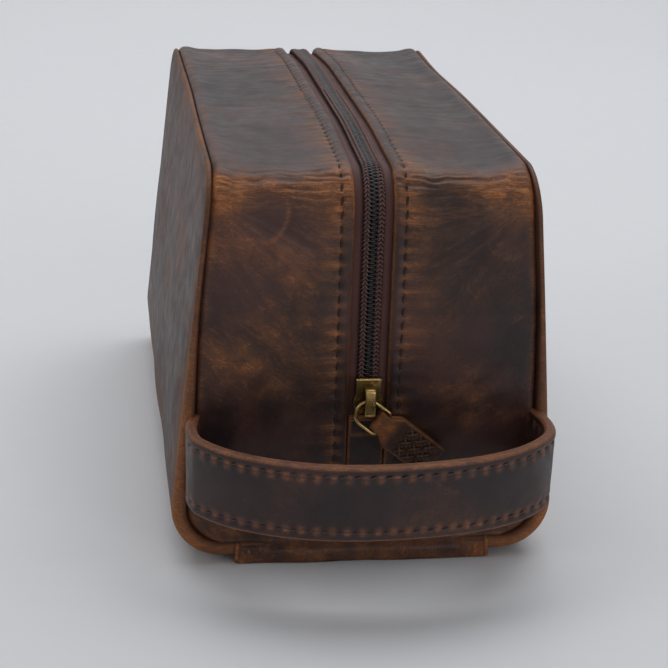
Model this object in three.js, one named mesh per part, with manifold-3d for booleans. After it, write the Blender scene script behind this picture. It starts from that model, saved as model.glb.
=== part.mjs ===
// Shaving kit bag: a leather box bag whose zip runs over the top and down both ends, with a sewn
// handle loop on the near end. Millimetres, +Z up. The origin is the middle of the base, on the
// surface the bag stands on. The handle end faces -Y.
import * as THREE from "three";
import { mergeVertices } from "three/addons/utils/BufferGeometryUtils.js";
import Module from "manifold-3d";

const wasm = await Module();
wasm.setup();

// ---- Driving dimensions ----
const LENGTH = 250; // over the rolled seams at the two ends
const BASE_WIDTH = 141; // widest outside width, at the base
const TOP_WIDTH = 113; // outside width at the top
const HEIGHT = 143;
const LEATHER = 2; // panel thickness
const LINING = 1;
const GAP = 0.3; // clearance between touching solids
const CORNER_R = 18; // lower corner of the end face
const BEND_R = 16; // outer radius of the fold from end face to top
const SEAM_STAND = 2.5; // the side panels' rolled edges stand this far past the end faces

const BASE_PANEL = { width: 92, thick: 2.2 };
const BASE_LAP = 10; // overlap of the base panel on each side panel
const BASE_BOARD = { width: 84, thick: 1.5 };

const SLOT = 13.5; // gap between the two leather lips of the zip
const TAPE = { width: 13, thick: 0.8 };
const COIL = { width: 3, depth: 1.9 }; // one half of the coil chain
const CHAIN_GAP = 0.7; // half of the gap in which the slider's post runs
const ZIP_BOTTOM = 58; // height at which the chain ends, on both ends of the bag
const END_COVER = { top: 55, band: 7.8 };

const SLIDER = { height: 13, topWidth: 9, width: 11, plate: 1.6, z: 63 };
const BRIDGE = { width: 4.2, length: 10.6, wall: 1.2, floor: 0.5, eye: 3.2, z: 62 };
const RING = { wire: 0.7, radius: 4.8, reach: 6.5, corner: 1.4 };
const PULL = { width: 12.8, length: 23.5, thick: 3, fold: 2, hole: 1 };
const PULL_TILT = THREE.MathUtils.degToRad(52); // the ring and pull lean to +X

const HANDLE = { width: 28, reach: 47, thick: 4.4, z: 42.5, rootX: 57.5, bulgeX: 62.5 };
const HANDLE_PIVOT_Y = -122; // the strap flexes about a line at the end face
const ANCHOR_R = 16; // the strap's fixed ends reach this far from that line

// ---- Derived places ----
const END_Y = LENGTH / 2 - SEAM_STAND; // outer surface of the end faces
const BEND_Y = END_Y - BEND_R; // where the fold meets the flat top
const FLOOR_Z = BASE_PANEL.thick + GAP; // underside of the side panels' wrapped edges
const LID_Z = HEIGHT - LEATHER; // underside of the top panels
const SIDE_TOP = LID_Z - GAP;
const TAPE_INSET = LEATHER + GAP;
const CHAIN_INSET = TAPE_INSET - GAP / 2 - COIL.depth;
const LINING_INSET = LEATHER + GAP;
const LINING_FLOOR = FLOOR_Z + LEATHER + BASE_BOARD.thick + 2 * GAP;
const FAR = 400; // a length well past the bag

const bag = new THREE.Group();

// ---- Materials ----
const leather = new THREE.MeshStandardMaterial({ color: 0x4a2f22, roughness: 0.55 });
const strapLeather = new THREE.MeshStandardMaterial({ color: 0x3a2b27, roughness: 0.5 });
const fabric = new THREE.MeshStandardMaterial({ color: 0x3b342c, roughness: 0.95 });
const board = new THREE.MeshStandardMaterial({ color: 0x6b5a45, roughness: 0.9 });
const tape = new THREE.MeshStandardMaterial({ color: 0x2c1816, roughness: 0.85 });
const coil = new THREE.MeshStandardMaterial({ color: 0x1c1614, roughness: 0.4 });
const brass = new THREE.MeshStandardMaterial({ color: 0x8a6c3c, roughness: 0.35, metalness: 1 });

// ---- Solids ----
// A closed three.js geometry as a manifold-3d solid.
function solid(geometry) {
  const bare = geometry.index ? geometry.toNonIndexed() : geometry.clone();
  bare.deleteAttribute("normal");
  bare.deleteAttribute("uv");
  const merged = mergeVertices(bare, 1e-4);
  return new wasm.Manifold(
    new wasm.Mesh({
      numProp: 3,
      vertProperties: merged.attributes.position.array,
      triVerts: new Uint32Array(merged.index.array),
    }),
  );
}

// A manifold-3d solid as a three.js geometry.
function geometryOf(made) {
  const mesh = made.getMesh();
  const geometry = new THREE.BufferGeometry();
  geometry.setAttribute("position", new THREE.BufferAttribute(mesh.vertProperties, 3));
  geometry.setIndex(new THREE.BufferAttribute(mesh.triVerts, 1));
  return geometry;
}

function addMesh(name, shape, material, parent = bag) {
  const geometry = shape.isBufferGeometry ? shape : geometryOf(shape);
  const mesh = new THREE.Mesh(geometry, material);
  mesh.name = name;
  parent.add(mesh);
  return mesh;
}

function box(low, high) {
  const size = high.map((value, axis) => value - low[axis]);
  const middle = high.map((value, axis) => (value + low[axis]) / 2);
  return new THREE.BoxGeometry(...size).translate(...middle);
}

const blockOf = (low, high) => solid(box(low, high));

// Extrudes a shape drawn in X and Z along Y, centred on Y = 0.
function alongY(shape, depth, curveSegments = 12) {
  const geometry = new THREE.ExtrudeGeometry(shape, { depth, bevelEnabled: false, curveSegments });
  return geometry.rotateX(Math.PI / 2).translate(0, depth / 2, 0);
}

// Extrudes a shape drawn in Y and Z along X, centred on X = 0.
function alongX(shape, depth, curveSegments = 12) {
  const geometry = new THREE.ExtrudeGeometry(shape, { depth, bevelEnabled: false, curveSegments });
  const turn = new THREE.Matrix4().makeBasis(
    new THREE.Vector3(0, 1, 0),
    new THREE.Vector3(0, 0, 1),
    new THREE.Vector3(1, 0, 0),
  );
  return geometry.applyMatrix4(turn).translate(-depth / 2, 0, 0);
}

// ---- Outlines of the bag ----
// The end view: a box that narrows upwards, with round lower corners, drawn inset from the outside.
function endOutline(inset) {
  const lean = Math.atan2((BASE_WIDTH - TOP_WIDTH) / 2, HEIGHT);
  const centreZ = FLOOR_Z + CORNER_R;
  const wallX = BASE_WIDTH / 2 - centreZ * Math.tan(lean);
  const centreX = wallX - CORNER_R / Math.cos(lean);
  const radius = CORNER_R - inset;
  const above = HEIGHT + 20;
  const wallTop = BASE_WIDTH / 2 - above * Math.tan(lean) - inset / Math.cos(lean);
  const shape = new THREE.Shape();
  shape.moveTo(-centreX, FLOOR_Z + inset);
  shape.lineTo(centreX, FLOOR_Z + inset);
  shape.absarc(centreX, centreZ, radius, -Math.PI / 2, lean, false);
  shape.lineTo(wallTop, above);
  shape.lineTo(-wallTop, above);
  shape.absarc(-centreX, centreZ, radius, Math.PI - lean, 1.5 * Math.PI, false);
  return shape;
}

// The side view: a box with round upper corners, drawn inset from the gusset's outside.
function sideOutline(inset) {
  const y = END_Y - inset;
  const radius = BEND_R - inset;
  const centreZ = HEIGHT - BEND_R;
  const shape = new THREE.Shape();
  shape.moveTo(-y, -FAR);
  shape.lineTo(y, -FAR);
  shape.lineTo(y, centreZ);
  shape.absarc(BEND_Y, centreZ, radius, 0, Math.PI / 2, false);
  shape.absarc(-BEND_Y, centreZ, radius, Math.PI / 2, Math.PI, false);
  shape.lineTo(-y, -FAR);
  return shape;
}

const endPrism = (inset, length = 2 * FAR) => solid(alongY(endOutline(inset), length));
const sidePrism = (inset) => solid(alongX(sideOutline(inset), 2 * FAR));

// A band that follows the gusset's path over the bag, between two insets from its outside.
const gussetBand = (outer, inner) => sidePrism(outer).subtract(sidePrism(inner));

// The quarter of space at one end (-1 near, 1 far) and on one side (-1 left, 1 right) of the bag,
// from |x| = fromX outwards to toX and upwards from z = fromZ.
function endRegion(end, side, fromX, toX, fromZ) {
  const ys = end < 0 ? [-FAR, -BEND_Y] : [BEND_Y, FAR];
  const xs = side < 0 ? [-toX, -fromX] : [fromX, toX];
  return blockOf([xs[0], ys[0], fromZ], [xs[1], ys[1], FAR]);
}

const SIDES = [
  ["left", -1],
  ["right", 1],
];
const ENDS = [
  ["near", -1],
  ["far", 1],
];

// ---- Side panels: flat sides whose lower edges wrap round the corners and under the bag ----
function sidePanel(side) {
  const shell = endPrism(0, LENGTH).subtract(endPrism(LEATHER));
  const cornerY = SEAM_STAND + BEND_R;
  const cornerZ = SIDE_TOP - (HEIGHT - BEND_R);
  const profile = new THREE.Shape();
  profile.moveTo(-LENGTH / 2, 0);
  profile.lineTo(LENGTH / 2, 0);
  profile.lineTo(LENGTH / 2, HEIGHT - BEND_R);
  profile.absellipse(BEND_Y, HEIGHT - BEND_R, cornerY, cornerZ, 0, Math.PI / 2, false);
  profile.absellipse(-BEND_Y, HEIGHT - BEND_R, cornerY, cornerZ, Math.PI / 2, Math.PI, false);
  profile.lineTo(-LENGTH / 2, 0);
  const innerX = BASE_PANEL.width / 2 - BASE_LAP;
  const xs = side < 0 ? [-FAR, -innerX] : [innerX, FAR];
  const half = blockOf([xs[0], -FAR, 0], [xs[1], FAR, FAR]);
  return shell.intersect(solid(alongX(profile, 2 * FAR))).intersect(half);
}

for (const [sideName, side] of SIDES) {
  addMesh(`side_panel_${sideName}`, sidePanel(side), leather);
}

// ---- Base: the outer base panel laps over the side panels, with a stiff board inside ----
const baseHalfLength = LENGTH / 2 - GAP;
const baseOutline = new THREE.Shape([
  new THREE.Vector2(-BASE_PANEL.width / 2, -baseHalfLength),
  new THREE.Vector2(BASE_PANEL.width / 2, -baseHalfLength),
  new THREE.Vector2(BASE_PANEL.width / 2, baseHalfLength),
  new THREE.Vector2(-BASE_PANEL.width / 2, baseHalfLength),
]);
const basePanel = new THREE.ExtrudeGeometry(baseOutline, {
  depth: BASE_PANEL.thick,
  bevelEnabled: false,
});
addMesh("base_panel", basePanel, leather);

const boardZ = FLOOR_Z + LEATHER + GAP;
const boardY = END_Y - LEATHER - 2 * GAP;
addMesh(
  "base_board",
  box(
    [-BASE_BOARD.width / 2, -boardY, boardZ],
    [BASE_BOARD.width / 2, boardY, boardZ + BASE_BOARD.thick],
  ),
  board,
);

// ---- Handle strap: two layers in a loop, with fixed ends sewn into the end seams ----
// The strap's plan curve at a distance out from its middle line, from the left end to the right.
function strapCurve(offset, steps = 28) {
  const points = [];
  const middleReach = HANDLE.reach - HANDLE.thick / 2;
  const middleBulge = HANDLE.bulgeX - HANDLE.thick / 2;
  const frontY = -END_Y;
  const at = (angle) => {
    const flare = Math.sin(angle) ** 0.8;
    const wide = THREE.MathUtils.lerp(HANDLE.rootX, middleBulge + 4, Math.min(1, 2.2 * flare));
    const x = -wide * Math.cos(angle);
    return new THREE.Vector2(x, frontY - middleReach * flare);
  };
  for (let i = 0; i <= steps; i++) {
    const angle = (Math.PI * i) / steps;
    const here = at(angle);
    const before = at(Math.max(0, angle - 0.01));
    const after = at(Math.min(Math.PI, angle + 0.01));
    const along = after.sub(before).normalize();
    points.push(new THREE.Vector2(here.x + along.y * offset, here.y - along.x * offset));
  }
  return points;
}

// The solid between two offsets of the strap's curve, as tall as the strap is wide. Its ends run
// straight back through the end face.
function strapLayer(inner, outer) {
  const backY = -END_Y + LEATHER;
  const insideRow = strapCurve(inner);
  const outsideRow = strapCurve(outer);
  const ends = (row) => [
    new THREE.Vector2(row[0].x, backY),
    ...row,
    new THREE.Vector2(row[row.length - 1].x, backY),
  ];
  const shape = new THREE.Shape([...ends(outsideRow), ...ends(insideRow).reverse()]);
  const geometry = new THREE.ExtrudeGeometry(shape, { depth: HANDLE.width, bevelEnabled: false });
  return solid(geometry.translate(0, 0, HANDLE.z - HANDLE.width / 2));
}

// A drum along X about the line the strap flexes on.
function flexDrum(radius) {
  const drum = new THREE.CylinderGeometry(radius, radius, 2 * FAR, 48).rotateZ(Math.PI / 2);
  return solid(drum.translate(0, HANDLE_PIVOT_Y, HANDLE.z));
}

const halfStrap = HANDLE.thick / 2;
const inFront = blockOf([-FAR, -FAR, -FAR], [FAR, HANDLE_PIVOT_Y, FAR]);
const beyondAnchors = inFront.subtract(flexDrum(ANCHOR_R + GAP));
addMesh(
  "handle_outer",
  strapLayer(GAP / 2, halfStrap).intersect(beyondAnchors),
  strapLeather,
);
addMesh(
  "handle_inner",
  strapLayer(-halfStrap, -GAP / 2).intersect(beyondAnchors),
  strapLeather,
);
const wholeStrap = strapLayer(-halfStrap, halfStrap);
for (const [sideName, side] of SIDES) {
  const xs = side < 0 ? [-FAR, 0] : [0, FAR];
  const half = blockOf([xs[0], -FAR, 0], [xs[1], FAR, FAR]);
  addMesh(
    `handle_anchor_${sideName}`,
    wholeStrap.intersect(flexDrum(ANCHOR_R)).intersect(half),
    strapLeather,
  );
}

// ---- Gusset: each half of the strip that makes both ends and the top ----
// The strip folds over the top, so its ends and folds are end panels and its flat top is a top
// panel that opens with the mouth.
function endPanel(end, side) {
  let panel = gussetBand(0, LEATHER)
    .intersect(endPrism(LEATHER + GAP))
    .intersect(endRegion(end, side, SLOT / 2, FAR, 0));
  if (end < 0) {
    const innerX = HANDLE.rootX - halfStrap - GAP;
    const xs = side < 0 ? [-FAR, -innerX] : [innerX, FAR];
    const low = HANDLE.z - HANDLE.width / 2 - GAP;
    const high = HANDLE.z + HANDLE.width / 2 + GAP;
    panel = panel.subtract(blockOf([xs[0], -FAR, low], [xs[1], 0, high]));
  }
  return panel;
}

for (const [endName, end] of ENDS) {
  for (const [sideName, side] of SIDES) {
    addMesh(`end_panel_${endName}_${sideName}`, endPanel(end, side), leather);
  }
}

const lidY = BEND_Y - GAP;
function lidPlate(side, fromX, toX, low, high) {
  const xs = side < 0 ? [-toX, -fromX] : [fromX, toX];
  return box([xs[0], -lidY, low], [xs[1], lidY, high]);
}

const liningLidOut = TOP_WIDTH / 2 - LEATHER - GAP;
const liningLidIn = CHAIN_GAP + TAPE.width + GAP;
for (const [sideName, side] of SIDES) {
  addMesh(
    `top_panel_${sideName}`,
    lidPlate(side, SLOT / 2, TOP_WIDTH / 2, LID_Z, HEIGHT),
    leather,
  );
  addMesh(
    `top_lining_${sideName}`,
    lidPlate(side, liningLidIn, liningLidOut, SIDE_TOP - LINING, SIDE_TOP),
    fabric,
  );
}

// ---- Lining: an open tub inside the leather, cut back round the zip ----
function liningTub() {
  const outside = endPrism(LINING_INSET)
    .intersect(sidePrism(LINING_INSET))
    .intersect(blockOf([-FAR, -FAR, LINING_FLOOR], [FAR, FAR, FAR]));
  const inside = endPrism(LINING_INSET + LINING)
    .intersect(sidePrism(LINING_INSET + LINING))
    .intersect(blockOf([-FAR, -FAR, LINING_FLOOR + LINING], [FAR, FAR, FAR]));
  const mouth = blockOf([-FAR, -BEND_Y, SIDE_TOP - LINING - GAP], [FAR, BEND_Y, FAR]);
  const zipWay = blockOf([-liningLidIn, -FAR, END_COVER.top - 12], [liningLidIn, FAR, FAR]);
  return outside.subtract(inside).subtract(mouth).subtract(zipWay);
}

addMesh("lining_tub", liningTub(), fabric);

// ---- Zip: two tapes with a coil each, in end stretches and a top stretch ----
const TAPE_FOOT = END_COVER.top - 11;
for (const [sideName, side] of SIDES) {
  for (const [endName, end] of ENDS) {
    const tapeBand = gussetBand(TAPE_INSET, TAPE_INSET + TAPE.thick);
    const tapeEdge = CHAIN_GAP + TAPE.width;
    addMesh(
      `zip_tape_${endName}_${sideName}`,
      tapeBand.intersect(endRegion(end, side, CHAIN_GAP, tapeEdge, TAPE_FOOT)),
      tape,
    );
    const coilBand = gussetBand(CHAIN_INSET, CHAIN_INSET + COIL.depth);
    const coilEdge = CHAIN_GAP + COIL.width;
    addMesh(
      `zip_coil_${endName}_${sideName}`,
      coilBand.intersect(endRegion(end, side, CHAIN_GAP, coilEdge, ZIP_BOTTOM)),
      coil,
    );
  }
  const tapeTop = HEIGHT - TAPE_INSET;
  addMesh(
    `zip_tape_top_${sideName}`,
    lidPlate(side, CHAIN_GAP, CHAIN_GAP + TAPE.width, tapeTop - TAPE.thick, tapeTop),
    tape,
  );
  const coilTop = HEIGHT - CHAIN_INSET;
  addMesh(
    `zip_coil_top_${sideName}`,
    lidPlate(side, CHAIN_GAP, CHAIN_GAP + COIL.width, coilTop - COIL.depth, coilTop),
    coil,
  );
}

// Stops where the chain ends: a clip on each tape at the near end, one clip at the far end.
const STOP_HEIGHT = 2.5;
function stopClip(end, fromX, toX) {
  const y = [END_Y - CHAIN_INSET - COIL.depth, END_Y - CHAIN_INSET].map((value) => end * value);
  const z = [ZIP_BOTTOM - GAP - STOP_HEIGHT, ZIP_BOTTOM - GAP];
  return box([fromX, Math.min(...y), z[0]], [toX, Math.max(...y), z[1]]);
}

const stopEdge = CHAIN_GAP + COIL.width;
addMesh("zip_stop_near_left", stopClip(-1, -stopEdge, -CHAIN_GAP), brass);
addMesh("zip_stop_near_right", stopClip(-1, CHAIN_GAP, stopEdge), brass);
addMesh("zip_stop_far", stopClip(1, -stopEdge, stopEdge), brass);

// Leather covers that fill the slot below the chain, each with a folded band along its top.
function endCover(end) {
  const halfWidth = SLOT / 2 - GAP;
  const foot = FLOOR_Z + LEATHER + GAP;
  const slab = (proud, low, high) => {
    const y = [END_Y - LEATHER, END_Y + proud].map((value) => end * value);
    return blockOf([-halfWidth, Math.min(...y), low], [halfWidth, Math.max(...y), high]);
  };
  const body = slab(-0.7, foot, END_COVER.top);
  return body.add(slab(-0.1, END_COVER.top - END_COVER.band, END_COVER.top));
}

for (const [endName, end] of ENDS) {
  addMesh(`zip_end_cover_${endName}`, endCover(end), leather);
}

// ---- Slider: an outer and an inner plate joined by a post between the coils ----
const plateY = -END_Y - 0.6; // inner surface of the outer plate
const plateFront = plateY - SLIDER.plate;
const innerPlateY = -END_Y + TAPE_INSET + TAPE.thick + GAP;

function sliderOutline() {
  const half = SLIDER.height / 2;
  const shape = new THREE.Shape();
  shape.moveTo(-SLIDER.topWidth / 2, half);
  shape.lineTo(-SLIDER.topWidth / 2, 0.1 * half);
  shape.quadraticCurveTo(-SLIDER.width / 2, -0.1 * half, -SLIDER.width / 2, -0.45 * half);
  shape.quadraticCurveTo(-SLIDER.width / 2, -half, -0.2 * SLIDER.width, -half);
  shape.lineTo(0.2 * SLIDER.width, -half);
  shape.quadraticCurveTo(SLIDER.width / 2, -half, SLIDER.width / 2, -0.45 * half);
  shape.quadraticCurveTo(SLIDER.width / 2, -0.1 * half, SLIDER.topWidth / 2, 0.1 * half);
  shape.lineTo(SLIDER.topWidth / 2, half);
  shape.lineTo(-SLIDER.topWidth / 2, half);
  return shape;
}

function sliderBody() {
  const plate = (depth, y) =>
    solid(alongY(sliderOutline(), depth, 6).translate(0, y, SLIDER.z));
  const outer = plate(SLIDER.plate, (plateY + plateFront) / 2);
  const inner = plate(1.4, innerPlateY + 0.7);
  const half = SLIDER.height / 2;
  const post = blockOf(
    [-0.45, plateFront + 0.5, SLIDER.z - 0.9 * half],
    [0.45, innerPlateY + 0.7, SLIDER.z - 0.3 * half],
  );
  const flange = (side) => {
    const xs = [side * 4.2, side * 4.5].sort((a, b) => a - b);
    return blockOf([xs[0], plateY - 0.4, SLIDER.z - 2], [xs[1], plateY + 1.4, SLIDER.z + half]);
  };
  return outer.add(inner).add(post).add(flange(-1)).add(flange(1));
}

// The bridge: an arch along the outer plate, whose eye holds the ring.
const bridgeFoot = plateFront - GAP;
const eyeY = bridgeFoot - BRIDGE.floor - BRIDGE.eye / 2;

function sliderBridge() {
  const crown = bridgeFoot - BRIDGE.floor - BRIDGE.eye - BRIDGE.wall;
  const half = BRIDGE.length / 2;
  const shape = new THREE.Shape();
  shape.moveTo(bridgeFoot, BRIDGE.z - half);
  shape.lineTo(bridgeFoot, BRIDGE.z + half);
  shape.quadraticCurveTo(crown, BRIDGE.z + half, crown, BRIDGE.z + 0.45 * half);
  shape.lineTo(crown, BRIDGE.z - 0.45 * half);
  shape.quadraticCurveTo(crown, BRIDGE.z - half, bridgeFoot, BRIDGE.z - half);
  const arch = solid(alongX(shape, BRIDGE.width, 6));
  const eyeHalf = half - BRIDGE.wall;
  const eye = blockOf(
    [-FAR, eyeY - BRIDGE.eye / 2, BRIDGE.z - eyeHalf],
    [FAR, eyeY + BRIDGE.eye / 2, BRIDGE.z + eyeHalf],
  );
  return arch.subtract(eye);
}

addMesh("slider_body", sliderBody(), brass);
addMesh("slider_bridge", sliderBridge(), brass);

// ---- Ring and pull: a wire ring through the bridge, with a folded leather pull on its bar ----
// Both are drawn hanging straight down from the middle of the ring's round end, then turned
// together, so that the top of the ring rests in the eye.
const pullGroup = new THREE.Group();
pullGroup.position.set(0, eyeY, BRIDGE.z - RING.radius);
pullGroup.rotation.y = -PULL_TILT;
bag.add(pullGroup);

function ringCurve() {
  const { radius, reach, corner } = RING;
  const outline = new THREE.Path();
  outline.absarc(0, 0, radius, 0, Math.PI, false);
  outline.absarc(-radius + corner, -reach + corner, corner, Math.PI, 1.5 * Math.PI, false);
  outline.absarc(radius - corner, -reach + corner, corner, 1.5 * Math.PI, 2 * Math.PI, false);
  outline.lineTo(radius, 0);
  const points = outline.getSpacedPoints(48).slice(0, -1);
  return new THREE.CatmullRomCurve3(
    points.map((p) => new THREE.Vector3(p.x, 0, p.y)),
    true,
  );
}

addMesh("pull_ring", new THREE.TubeGeometry(ringCurve(), 72, RING.wire, 8, true), brass, pullGroup);

// The pull's edge view: a strip folded round the ring's bar, its two layers sewn flat below it.
// Two slits in the fold let the ring's arms through.
function pullLeather() {
  const half = PULL.thick / 2;
  const neck = 5;
  const shape = new THREE.Shape();
  shape.absarc(0, 0, PULL.fold, 0, Math.PI, false);
  shape.quadraticCurveTo(-half, -neck / 2, -half, -neck);
  shape.lineTo(-half, -PULL.length);
  shape.lineTo(half, -PULL.length);
  shape.lineTo(half, -neck);
  shape.quadraticCurveTo(half, -neck / 2, PULL.fold, 0);
  const hole = new THREE.Path();
  hole.absarc(0, 0, PULL.hole, 0, 2 * Math.PI, true);
  shape.holes.push(hole);
  const strip = solid(alongX(shape, PULL.width, 8));
  const armX = RING.radius;
  const slitHalf = RING.wire + GAP;
  const slit = (side) => {
    const middle = side * armX;
    return blockOf([middle - slitHalf, -FAR, -0.9], [middle + slitHalf, PULL.hole, FAR]);
  };
  return strip.subtract(slit(-1)).subtract(slit(1)).translate([0, 0, -RING.reach]);
}

addMesh("pull_leather", pullLeather(), strapLeather, pullGroup);

export default bag;
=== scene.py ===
"""Shaving kit bag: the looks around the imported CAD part. Lengths in the helpers are millimetres."""

import bisect
from math import atan2, ceil, copysign, cos, exp, hypot, pi, radians, sin, sqrt

import bmesh
import bpy
from mathutils import Matrix, Vector, noise
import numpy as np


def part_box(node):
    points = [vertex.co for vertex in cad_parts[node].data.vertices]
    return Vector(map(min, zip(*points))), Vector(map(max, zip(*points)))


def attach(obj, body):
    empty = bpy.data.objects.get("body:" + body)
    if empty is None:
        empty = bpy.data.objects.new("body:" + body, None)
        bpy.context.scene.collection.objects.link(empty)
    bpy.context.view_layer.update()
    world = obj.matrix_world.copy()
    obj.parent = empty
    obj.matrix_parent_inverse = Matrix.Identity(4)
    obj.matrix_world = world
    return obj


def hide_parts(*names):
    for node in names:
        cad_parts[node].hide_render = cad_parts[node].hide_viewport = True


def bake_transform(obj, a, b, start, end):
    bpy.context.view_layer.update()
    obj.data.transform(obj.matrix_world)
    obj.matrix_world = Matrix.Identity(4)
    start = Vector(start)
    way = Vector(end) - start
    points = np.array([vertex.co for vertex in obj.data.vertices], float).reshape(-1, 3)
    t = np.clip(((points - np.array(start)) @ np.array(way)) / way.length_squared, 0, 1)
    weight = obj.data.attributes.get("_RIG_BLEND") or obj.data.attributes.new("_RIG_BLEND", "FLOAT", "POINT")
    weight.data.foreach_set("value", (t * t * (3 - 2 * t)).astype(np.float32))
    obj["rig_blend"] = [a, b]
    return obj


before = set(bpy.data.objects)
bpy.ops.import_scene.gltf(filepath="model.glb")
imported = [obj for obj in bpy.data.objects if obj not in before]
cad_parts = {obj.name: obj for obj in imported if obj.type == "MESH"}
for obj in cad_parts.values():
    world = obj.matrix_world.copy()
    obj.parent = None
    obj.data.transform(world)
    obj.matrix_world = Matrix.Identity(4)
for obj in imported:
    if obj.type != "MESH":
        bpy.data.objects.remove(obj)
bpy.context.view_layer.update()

MM = 0.001


def box_mm(node):
    """A CAD node's lowest and highest corners, in millimetres."""
    return [Vector(corner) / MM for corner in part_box(node)]


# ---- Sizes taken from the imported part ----
side_low, side_high = box_mm("side_panel_right")
face_low, face_high = box_mm("end_panel_near_right")
top_high = box_mm("top_panel_right")[1]
base_low, base_high = box_mm("base_panel")
root_low, root_high = box_mm("handle_anchor_right")
slider_low, slider_high = box_mm("slider_body")
bridge_low, bridge_high = box_mm("slider_bridge")
ring_low, ring_high = box_mm("pull_ring")

END_Y = -face_low.y
BEND_Y = -face_high.y
BEND_R = END_Y - BEND_Y
TOP_Z = top_high.z
BEND_Z = TOP_Z - BEND_R
TOP_HALF = top_high.x
FLOOR_Z = side_low.z
LIP_X = face_low.x
CORNER_R = 18.0
CORNER_X = side_high.x - CORNER_R
CORNER_Z = FLOOR_Z + CORNER_R
WRAP_X = side_low.x


def side_lean():
    """The angle at which the side wall leans in, so that it is tangent to the lower corner."""
    low, high = 0.0, 0.3
    for _ in range(40):
        angle = (low + high) / 2
        reach = (TOP_HALF - CORNER_X) * cos(angle) + (TOP_Z - CORNER_Z) * sin(angle)
        if reach < CORNER_R:
            low = angle
        else:
            high = angle
    return angle


LEAN = side_lean()

SIDES = (("left", -1), ("right", 1))
ENDS = (("near", -1), ("far", 1))


# ---- Small helpers ----
def lerp(a, b, t):
    return a + (b - a) * t


def steps(count):
    """Fractions from 0 to 1 in count equal steps."""
    return [i / count for i in range(count + 1)]


def clamp(v, low=0.0, high=1.0):
    return max(low, min(high, v))


def smooth(edge0, edge1, v):
    t = clamp((v - edge0) / (edge1 - edge0))
    return t * t * (3 - 2 * t)


def bell(v, width):
    return exp(-((v / width) ** 2))


def waver(x, y, z):
    """Smooth noise of about -0.6 to 0.6, whose lumps are about 1 across."""
    return noise.noise(Vector((x, y, z)))


def rough_noise(x, y, z, scale, seed=0.0):
    """Smooth noise of about -1 to 1, whose lumps are about scale mm across."""
    return waver(x / scale + seed, y / scale - seed, z / scale + 2 * seed) * 1.6


class Builder:
    """Gathers grids and tubes into one mesh, in millimetres. Each vertex has two wear values: wear
    where the surface bends or rubs, and soft in cloudy patches."""

    def __init__(self):
        self.verts, self.faces, self.wear, self.soft = [], [], [], []

    def point(self, co, wear=0.0, soft=0.0):
        self.verts.append(Vector(co))
        self.wear.append(wear)
        self.soft.append(soft)
        return len(self.verts) - 1

    def grid(self, rows, closed=False):
        """rows of (co, wear) or (co, wear, soft); closed joins each row's end to its start."""
        ids = [[self.point(*item) for item in row] for row in rows]
        for this, following in zip(ids, ids[1:]):
            count = len(this)
            for c in range(count if closed else count - 1):
                d = (c + 1) % count
                self.faces.append((this[c], this[d], following[d], following[c]))
        return ids

    def fan(self, ids, flip=False):
        """Closes a ring of vertices with a fan about its middle."""
        centre = sum((self.verts[i] for i in ids), Vector()) / len(ids)
        middle = self.point(centre, self.wear[ids[0]], self.soft[ids[0]])
        for i, a in enumerate(ids):
            b = ids[(i + 1) % len(ids)]
            self.faces.append((a, middle, b) if flip else (a, b, middle))

    def loft(self, rings):
        """A closed solid through rings of grid cells."""
        ids = self.grid(rings, closed=True)
        self.fan(ids[0], flip=True)
        self.fan(ids[-1])

    def tube(self, path, radius, sides=8, wear=0.0, closed=False, taper=None, flat=1.0, up=None):
        """A tube along path, squashed by flat along up; taper(t) scales its radius."""
        rings = []
        count = len(path)
        last_over = None
        for i, here in enumerate(path):
            before = path[i - 1] if closed or i > 0 else here
            after = path[(i + 1) % count] if closed or i < count - 1 else here
            along = (after - before).normalized()
            side = along.cross(up or last_over or Vector((0.3, 0.2, 1)))
            if side.length < 1e-6:
                side = along.cross(Vector((1, 0.1, 0)))
            side.normalize()
            over = last_over = side.cross(along).normalized()
            size = radius * (taper(i / max(1, count - 1)) if taper else 1)
            ring = []
            for k in range(sides):
                angle = 2 * pi * k / sides
                offset = side * (cos(angle) * size) + over * (sin(angle) * size * flat)
                ring.append((here + offset, wear))
            rings.append(ring)
        if closed:
            self.grid(rings + rings[:1], closed=True)
        else:
            self.loft(rings)

    def build(self, name, material, merge=1e-4):
        """The finished object. Vertices closer than merge become one."""
        mesh = bpy.data.meshes.new(name)
        mesh.from_pydata([v * MM for v in self.verts], [], self.faces)
        for key, values in (("wear", self.wear), ("soft", self.soft)):
            layer = mesh.attributes.new(key, "FLOAT", "POINT")
            layer.data.foreach_set("value", values)
        work = bmesh.new()
        work.from_mesh(mesh)
        bmesh.ops.remove_doubles(work, verts=work.verts, dist=merge * MM)
        bmesh.ops.recalc_face_normals(work, faces=work.faces)
        work.to_mesh(mesh)
        work.free()
        mesh.shade_smooth()
        mesh.materials.append(material)
        piece = bpy.data.objects.new(name, mesh)
        bpy.context.scene.collection.objects.link(piece)
        return piece


def modify(piece, kind, **settings):
    """Changes the piece's mesh with one modifier."""
    modifier = piece.modifiers.new("change", kind)
    for key, value in settings.items():
        setattr(modifier, key, value)
    graph = bpy.context.evaluated_depsgraph_get()
    made = bpy.data.meshes.new_from_object(piece.evaluated_get(graph), depsgraph=graph)
    piece.modifiers.clear()
    piece.data = made


BAG_MIDDLE = Vector((0, 0, 70 * MM))
SHARP = radians(62)


def thicken(piece, thickness):
    """Gives a sheet its thickness, inwards from its outer surface."""
    mesh = piece.data
    out = sum((face.center - BAG_MIDDLE).dot(face.normal) * face.area for face in mesh.polygons)
    if out < 0:
        mesh.flip_normals()
    modify(piece, "SOLIDIFY", thickness=thickness * MM, offset=-1.0, use_even_offset=False)
    piece.data.set_sharp_from_angle(angle=SHARP)


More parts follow.
